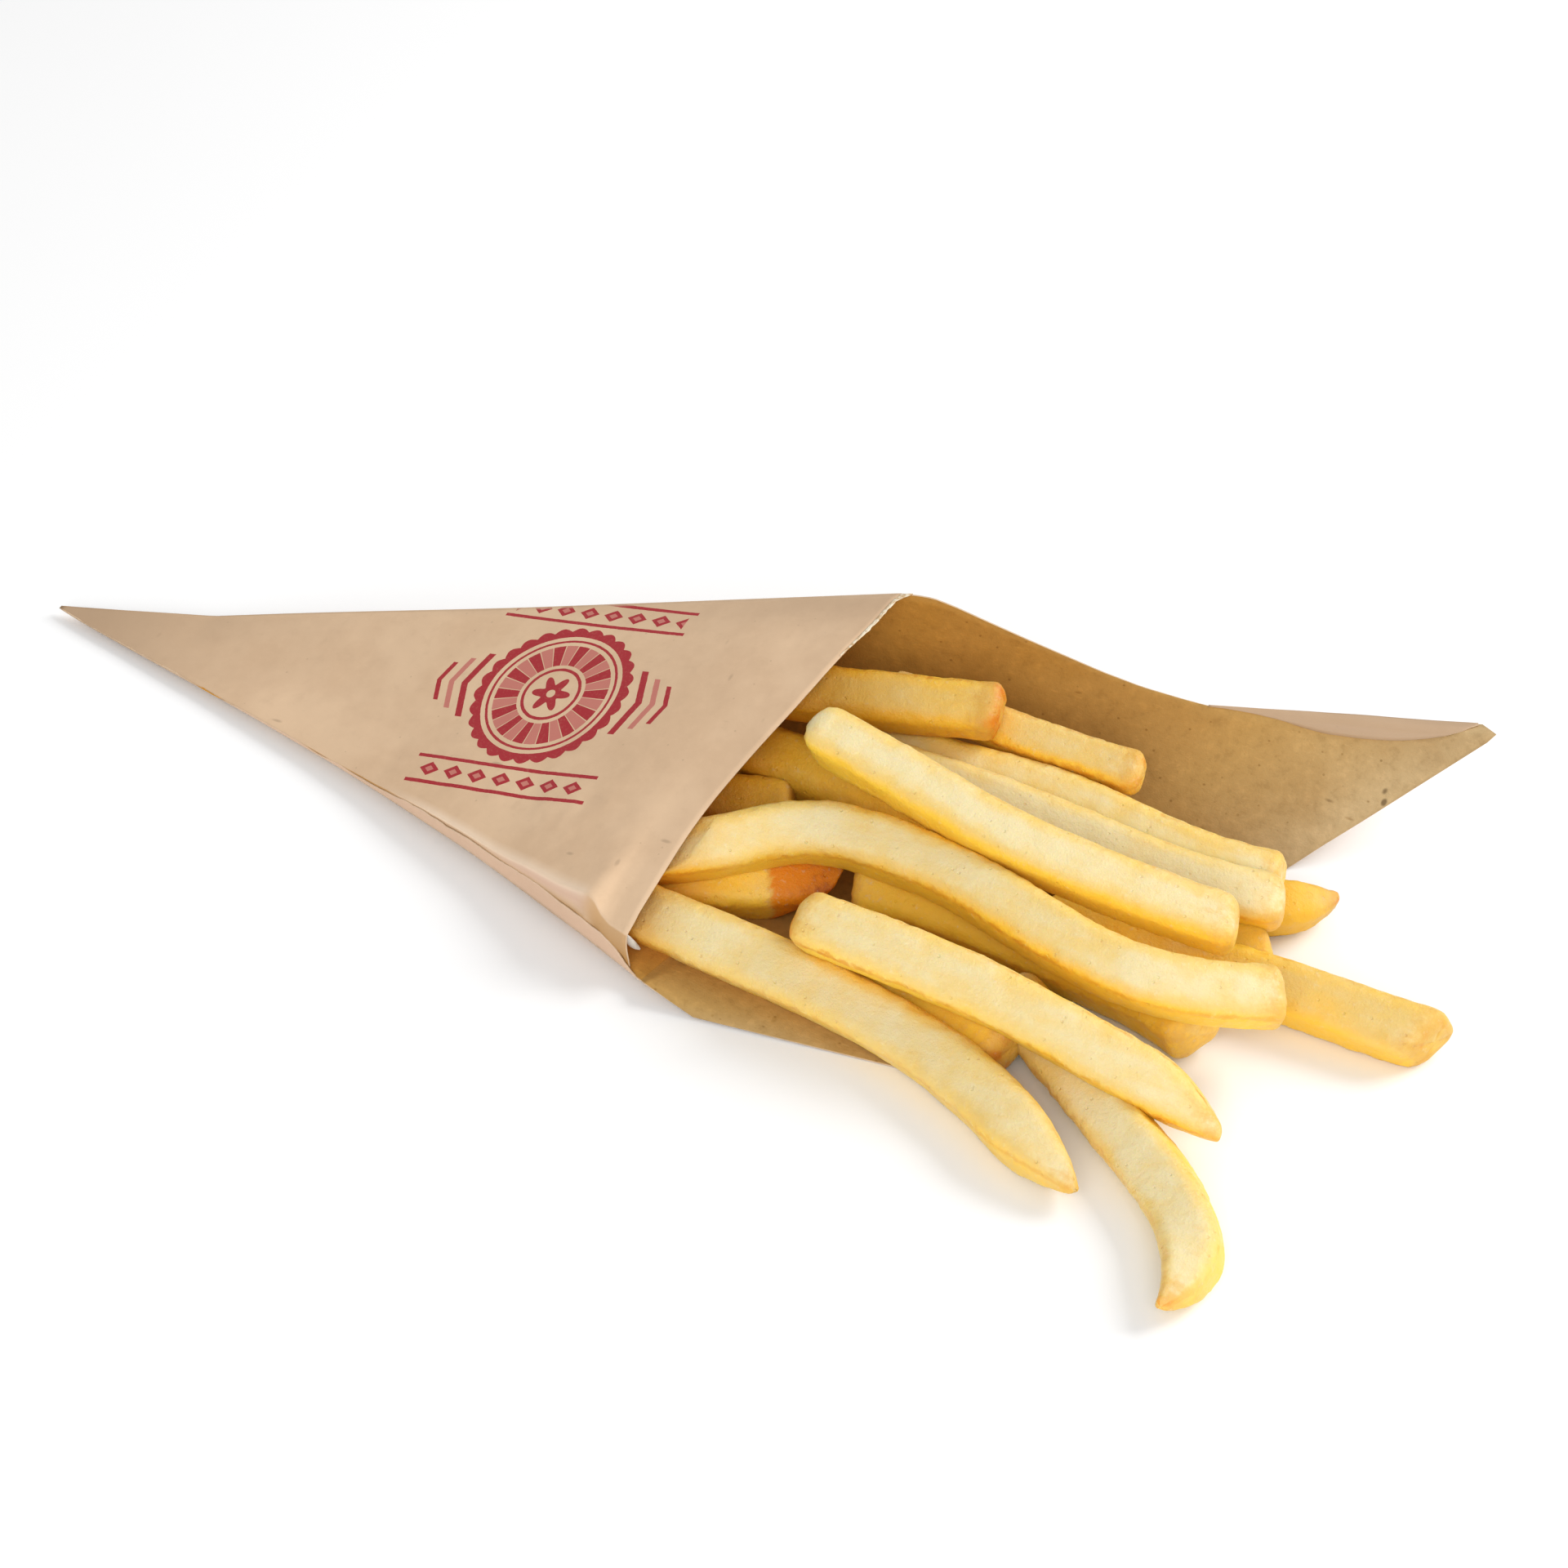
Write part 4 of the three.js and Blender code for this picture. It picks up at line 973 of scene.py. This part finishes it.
def fry(f, seed):
    sec, slope, way, arc = section()
    m = len(sec)
    line, inside = centreline(f)
    seg = np.r_[0, np.cumsum(np.linalg.norm(np.diff(line[:, :2], axis=0), axis=1))]
    L = seg[-1]
    tangent = np.gradient(line, axis=0)
    tangent /= np.linalg.norm(tangent[:, :2], axis=1)[:, None]
    r0, r1 = f["caps"]
    skew = 0.05 * math.sin(seed * 1.7)

    V, meta = [], []

    def ring(d, shrink=0.0, scale=1.0, cap=0.0):
        x, y, z = (float(np.interp(d, seg, line[:, k])) for k in range(3))
        T = np.array([float(np.interp(d, seg, tangent[:, k])) for k in range(3)])
        T[:2] /= np.linalg.norm(T[:2])
        R = np.array([T[1], -T[0], 0.0])
        U = np.array([0, 0, 1.0])
        u = (d - inside) / max(1e-6, L - inside)
        girth = 1.0
        for (reach, least, _), away in ((f["tip0"], d), (f["tip"], L - d)):
            v = min(1.0, max(0.0, away / reach))
            girth = min(girth, lerp(least, 1.0, math.sin(v * math.pi / 2) ** 0.8))
        drift = f["tip"][2] * (1 - girth) * f["w"] / 2 if L - d < f["tip"][0] else 0.0
        dr = noise([[d, seed * 31.7, 0.0]], 13.0, seed)[0]
        dr2 = noise([[d, seed * 31.7, 50.0]], 11.0, seed + 3)[0]
        bend = noise([[d, seed * 11.1, 90.0]], 16.0, seed + 5)[0] * 0.2
        hw = f["w"] / 2 * girth * (1 + 0.035 * dr)
        hh = f["h"] / 2 * girth * (1 + 0.035 * dr2)
        cut = min(shrink, 0.72 * min(hw, hh))
        hw, hh = (hw - cut) * scale, (hh - cut) * scale
        roll = math.radians(facing(T, f["face"]) + f["twist"] * (u - 0.5))
        A, B = (sec[:, 0] + skew * sec[:, 1]) * hw, sec[:, 1] * hh
        side = A * math.cos(roll) - B * math.sin(roll) + drift + bend
        up = A * math.sin(roll) + B * math.cos(roll)
        P = np.array([x, y, z]) + R * side[:, None] + U * up[:, None]
        moved = np.zeros(m)
        for away, ang, lean in ((d, f["slant"][0], 0.0), (L - d, f["slant"][1], f["lean"])):
            if ang or lean:
                moved = moved + (side * math.tan(math.radians(ang)) + up * lean) * max(0.0, 1 - away / f["fade"])
        P = P + T * moved[:, None]
        V.append(P)
        meta.append((d, cap, d + moved))

    turn = [math.pi / 2 * i / 5 for i in range(6)]
    for sc in (0.3, 0.6, 0.85):
        ring(0.0, r0, sc, 1.0)
    for ph in turn[::-1][:-1]:
        ring(r0 * (1 - math.sin(ph)), r0 * (1 - math.cos(ph)), 1.0, 0.6)
    for d in np.linspace(r0, L - r1, max(8, int((L - r0 - r1) / 0.66))):
        ring(float(d))
    for ph in turn[1:]:
        ring(L - r1 * (1 - math.sin(ph)), r1 * (1 - math.cos(ph)), 1.0, 0.6)
    for sc in (0.85, 0.6, 0.3):
        ring(L, r1, sc, 1.0)
    rows = len(V)
    P = np.vstack(V)
    F = []
    for i in range(rows - 1):
        for j in range(m):
            a, b = i * m + j, i * m + (j + 1) % m
            F.append((a, b, b + m, a + m))
    P = np.vstack([P, P[:m].mean(0), P[-m:].mean(0)])
    c0, c1 = len(P) - 2, len(P) - 1
    tri = [(c0, (j + 1) % m, j) for j in range(m)] + [(c1, (rows - 1) * m + j, (rows - 1) * m + (j + 1) % m) for j in range(m)]
    D = np.r_[np.array([q[0] for q in meta]).repeat(m), 0, L]
    cap = np.r_[np.array([q[1] for q in meta]).repeat(m), 1, 1]
    reach = np.r_[np.concatenate([q[2] for q in meta]), 0, L]
    half = min(f["w"], f["h"]) / 2
    W = np.r_[np.tile(way, rows) * half, 3, 3]                       # mm from the nearest long edge
    side = -1 if f["face"] < 0 else 1                                # which flank faces the main view
    tilt = math.radians(f["face"])
    turned = side * ((slope - f["face"] + 180) % 360 - 180)                   # the normal's angle from the main view
    across = side * (sec[:, 0] * math.cos(tilt) - sec[:, 1] * math.sin(tilt)) / (0.5 * (math.cos(tilt) + abs(math.sin(tilt))) + 0.5)
    sweep = f["sweep"]
    near = np.where((turned > 90) | (turned < -170), 1.0 - 0.35 * sm(95, 130, abs(turned)), sm(-0.08 - 0.45 * sweep, 1.03 - 0.10 * sweep, across) ** (1.7 - 0.7 * sweep))
    far = np.where(turned < -90, 0.45 * (1 - 0.4 * sm(-90, -130, turned)), 0.45 * sm(0.45, 1.0, -across))
    # painted shade: the flank turned to the main view, and more faintly the hidden sides, take the golden flank colour
    flank_gold_shade = np.r_[np.tile(np.maximum(near, far * (turned < 90)), rows), 0.5, 0.5]
    order = np.argsort(slope - 0.001 * np.arange(m))
    lines = [float(np.interp((f["face"] + a + 270) % 360 - 270, slope[order] - 0.001 * order, arc[order])) for a in (70, -72)]
    rimd = np.r_[np.tile(np.minimum(abs(arc - lines[0]), abs(arc - lines[1]) + 0.12), rows) * half, 3, 3]
    edge = np.maximum(np.exp(-(W / 0.9) ** 2), np.exp(-(rimd / 1.1) ** 2))
    nrm = vertex_normals(P, F)
    low = noise(P, 9.0, seed + 11, 2)
    mid = noise(P, 2.7, seed + 23, 2)
    fine = noise(P, 1.3, seed + 29, 2)
    tiny = noise(P, 0.8, seed + 31, 1)
    d = 0.15 * low + 0.09 * mid + (0.06 + 0.16 * edge) * fine + 0.08 * edge * tiny - 0.08 * (1 - edge)
    P = P + nrm * d[:, None]
    fl = np.array([floor_under(x, y) for x, y in P[:, :2]])
    P[:, 2] = np.maximum(P[:, 2], fl + 0.03)
    if f["deep"] or f["n"].startswith("I"):
        P = tuck(P)
    # colour: the broad face pale in its middle, flanks golden (crust colour and painted shade), ends browner
    gold_and_shade = 0.42 * f["tone"] * (1 - flank_gold_shade) + 0.94 * max(f["gild_and_shade"], 0.45 * f["tone"]) * flank_gold_shade + 0.08 * low + 0.06 * mid
    from_end, from_start = np.maximum(0, L - D), np.maximum(0, D)
    ends = f["brown"][1] * np.exp(-from_end / 2.4) + f["brown"][0] * np.exp(-from_start / 2.4) * (0 if f["deep"] else 1)
    burn = ends * (0.62 + 0.35 * edge + 0.25 * mid) * np.where(cap > 0.9, 0.6, 1.0)
    burn = burn + 0.16 * np.exp(-from_end / 5.0) + (0 if f["deep"] else 0.08) * np.exp(-from_start / 4.0)
    if f["scorch"]:
        part = sm(-0.5, 0.5, reach - (L - f["scorch"]) + 0.6 * mid)
        burn = burn + part * (0.98 + 0.12 * mid)
    rim = f["rim"] * (0.75 + 0.6 * low)
    shade = f["shade"] * (1 - 0.6 * sm(0.60, 0.95, D / L)) if f["n"] == "F1" else f["shade"] + 0 * D
    # painted shade inside the cone, fading out past the mouth
    cone_shade = 1 - sm(0.90, 1.03, np.array([station(x, y) for x, y in P[:, :2]]))
    along = np.stack([D / 9.0, P[:, 1] / 2.4 + seed * 7.0, P[:, 2] / 2.4], 1)
    return P, F + tri, dict(gold_and_shade=gold_and_shade, burn=burn, rim=rim * (1 + 0.6 * f["brown"][0] * np.exp(-from_start / 5.0) + 0.6 * f["brown"][1] * np.exp(-from_end / 5.0)), rimd=rimd, cone_shade=cone_shade, shade=shade, along=along)


def crevice_shade(parts, table):
    """Painted shade: a deeper golden colour where neighbouring fries stand close over the surface."""
    spots = [centreline(f)[0][::4] for f in table]
    for k, (P, F, at) in enumerate(parts):
        share = 0.40 * table[k]["free"]
        other = np.vstack([q for j, q in enumerate(spots) if j != k])
        n = vertex_normals(P, [q for q in F if len(q) == 4])
        n *= np.sign(((P - P.mean(0)) * n).sum())
        near = other[((other[:, :2] - P[:, :2].mean(0)) ** 2).sum(1) < (np.ptp(P[:, 0]) * 0.6 + np.ptp(P[:, 1]) * 0.6 + 20) ** 2]
        shut = np.zeros(len(P))
        for c in near:
            d = c - P
            r2 = np.maximum((d * d).sum(1), 20.0)
            shut += np.maximum(0.0, (d * n).sum(1)) / np.sqrt(r2) / r2
        at["gold_and_shade"] = at["gold_and_shade"] + np.minimum(share * np.clip(shut * 16 / math.pi - 0.06, 0, 1), np.maximum(0, 0.66 - at["gold_and_shade"]))
    return parts


def joined(parts):
    Vs, Fs, A = [], [], {}
    base = 0
    for P, F, at in parts:
        Vs.append(P)
        Fs += [tuple(i + base for i in f) for f in F]
        for k, v in at.items():
            A.setdefault(k, []).append(v)
        base += len(P)
    return np.vstack(Vs), Fs, {k: np.concatenate(v) for k, v in A.items()}


def inner_fries():
    """More fries inside the cone, out of the main view."""
    out = []
    for i, (s0, s1, k0, k1, z0, z1) in enumerate(((0.60, 0.93, 0.44, 0.30, 4.6, 5.0), (0.62, 0.93, 0.66, 0.52, 4.8, 5.2),
                                                  (0.66, 0.92, 0.30, 0.14, 4.6, 5.0), (0.72, 0.93, 0.60, 0.62, 10.5, 12.0))):
        a0, d0, W0 = frame_at(s0)
        a1, d1, W1 = frame_at(s1)
        p, q = a0 + d0 * W0 * k0, a1 + d1 * W1 * k1
        v = q - p
        out.append(dict(PLAIN, n=f"I{i}", at=tuple(p), z=(z0, z1, 0), head=math.degrees(math.atan2(v[1], v[0])), len=float(np.linalg.norm(v)), turn=(0, 0, 0),
                        w=7.6, h=7.2, face=30 + 6 * i, tone=0.7, gild_and_shade=.6, brown=(0.3, 0.5), twist=3))
    return out


def core():
    """The hidden middle of the heap, well inside the paper."""
    rows = []
    for s in np.linspace(0.34, 0.84, 28):
        a, d, W = frame_at(s)
        H = far_height(s)
        ring = []
        for j in range(28):
            th = 2 * math.pi * j / 28
            w = 0.47 * W + 0.34 * W * math.cos(th)
            top = 0.52 * (H * (w / W) + ridge_height(s) * (1 - w / W))
            lo = 1.2
            z = lerp(lo, max(lo + 0.6, top), 0.5 + 0.5 * math.sin(th))
            p = a + d * w
            ring.append([p[0], p[1], z])
        rows.append(ring)
    V = np.array(rows).reshape(-1, 3)
    m = 28
    F = [(i * m + j, i * m + (j + 1) % m, (i + 1) * m + (j + 1) % m, (i + 1) * m + j) for i in range(len(rows) - 1) for j in range(m)]
    V = np.vstack([V, V[:m].mean(0), V[-m:].mean(0)])
    c0, c1 = len(V) - 2, len(V) - 1
    last = (len(rows) - 1) * m
    F += [(c0, (j + 1) % m, j) for j in range(m)] + [(c1, last + j, last + (j + 1) % m) for j in range(m)]
    V = V + vertex_normals(V, [f for f in F if len(f) == 4]) * (0.35 * noise(V, 5.0, 77, 2))[:, None]
    one = np.ones(len(V))
    return V, F, dict(gold_and_shade=0.8 * one, burn=0.3 * one, rim=0 * one, rimd=3 * one, cone_shade=0.8 * one, shade=0.3 * one, along=V / 4.0)


# --------------------------------------------------------------------- pieces
OUTER, INNER, CUT, TORN, BEAD_FINISH, FRY = outer_kraft(), inner_kraft(), cut_kraft(), torn_kraft(), pale_bead_material(), fry_material()

V, faces, slots, attrs = build_paper()
paper = mesh_object("paper_sheet", V, faces, [OUTER, INNER, CUT], slots, attrs)
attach(paper, "root")
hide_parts("paper_cone")

V, faces, kind, src = build_flap()
zero = np.zeros(len(V))
# the folded flap gets the full painted shade (tip = 1)
flap = mesh_object("folded_edge", V, faces, [OUTER, INNER, CUT], kind, dict(tip=zero + 1.0, gold_and_shade=zero, deep=zero, pink=zero, painted_highlight=zero, pan=np.zeros((len(V), 3))))
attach(flap, "root")

V, faces, kind, src = torn_strip()
strip = mesh_object("torn_edge", V, faces, [TORN])
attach(strip, "root")

V, faces = pale_bead()
bead = mesh_object("pale_bead", V, faces, [BEAD_FINISH])
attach(bead, "root")

parts = [fry(f, 101 + 7 * i) for i, f in enumerate(FRIES)]
V, faces, attrs = joined(crevice_shade(parts, FRIES))
heap = mesh_object("fries_heap", V, faces, [FRY], None, attrs)
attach(heap, "root")
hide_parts("fries")

V, faces, attrs = joined([fry(f, 501 + 7 * i) for i, f in enumerate(inner_fries())] + [core()])
deep_fries = mesh_object("fries_inside", V, faces, [FRY], None, attrs)
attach(deep_fries, "root")

# ---------------------------------------------------------- floor, light, view
fm = Mat("pale_floor")
FLOOR = fm.finish((0.98, 0.98, 0.98), 0.9, None, Specular_IOR_Level=0.0)
me = bpy.data.meshes.new("floor")
me.from_pydata([(-3, -3, 0), (3, -3, 0), (3, 3, 0), (-3, 3, 0)], [], [(0, 1, 2, 3)])
me.materials.append(FLOOR)
floor = bpy.data.objects.new("floor", me)
bpy.context.scene.collection.objects.link(floor)

WORLD = 0.52
world = bpy.data.worlds.new("studio")
bpy.context.scene.world = world
world.use_nodes = True
bg = world.node_tree.nodes["Background"]
bg.inputs["Color"].default_value = (1, 1, 1, 1)
bg.inputs["Strength"].default_value = WORLD


def area(name, at, to, size, power, colour=(1, 1, 1)):
    d = bpy.data.lights.new(name, "AREA")
    d.shape = "RECTANGLE"
    d.size, d.size_y = size
    d.energy = power
    d.color = colour
    o = bpy.data.objects.new(name, d)
    o.location = at
    o.rotation_euler = (Vector(to) - Vector(at)).to_track_quat("-Z", "Y").to_euler()
    bpy.context.scene.collection.objects.link(o)
    return o


area("key", (0.56, 0.62, 0.60), (0, 0, 0), (0.60, 0.60), 7.3)
area("fill", (0.42, -0.88, 0.56), (0, 0, 0), (0.8, 0.8), 7.2)

cam_data = bpy.data.cameras.new("camera")
cam_data.lens = 90
cam_data.sensor_width = 36
cam_data.clip_start, cam_data.clip_end = 0.01, 20
camera = bpy.data.objects.new("camera", cam_data)
bpy.context.scene.collection.objects.link(camera)
TARGET = Vector((0.006833, 0.013988, 0.0))
BACK = Vector((math.sin(math.radians(30)) * math.cos(math.radians(38)), -math.cos(math.radians(30)) * math.cos(math.radians(38)), math.sin(math.radians(38))))
camera.location = TARGET + BACK * 0.6
camera.rotation_euler = (-BACK).to_track_quat("-Z", "Y").to_euler()
bpy.context.scene.camera = camera
bpy.context.scene.view_settings.view_transform = "Standard"
bpy.context.scene.view_settings.look = "None"

bpy.context.view_layer.update()
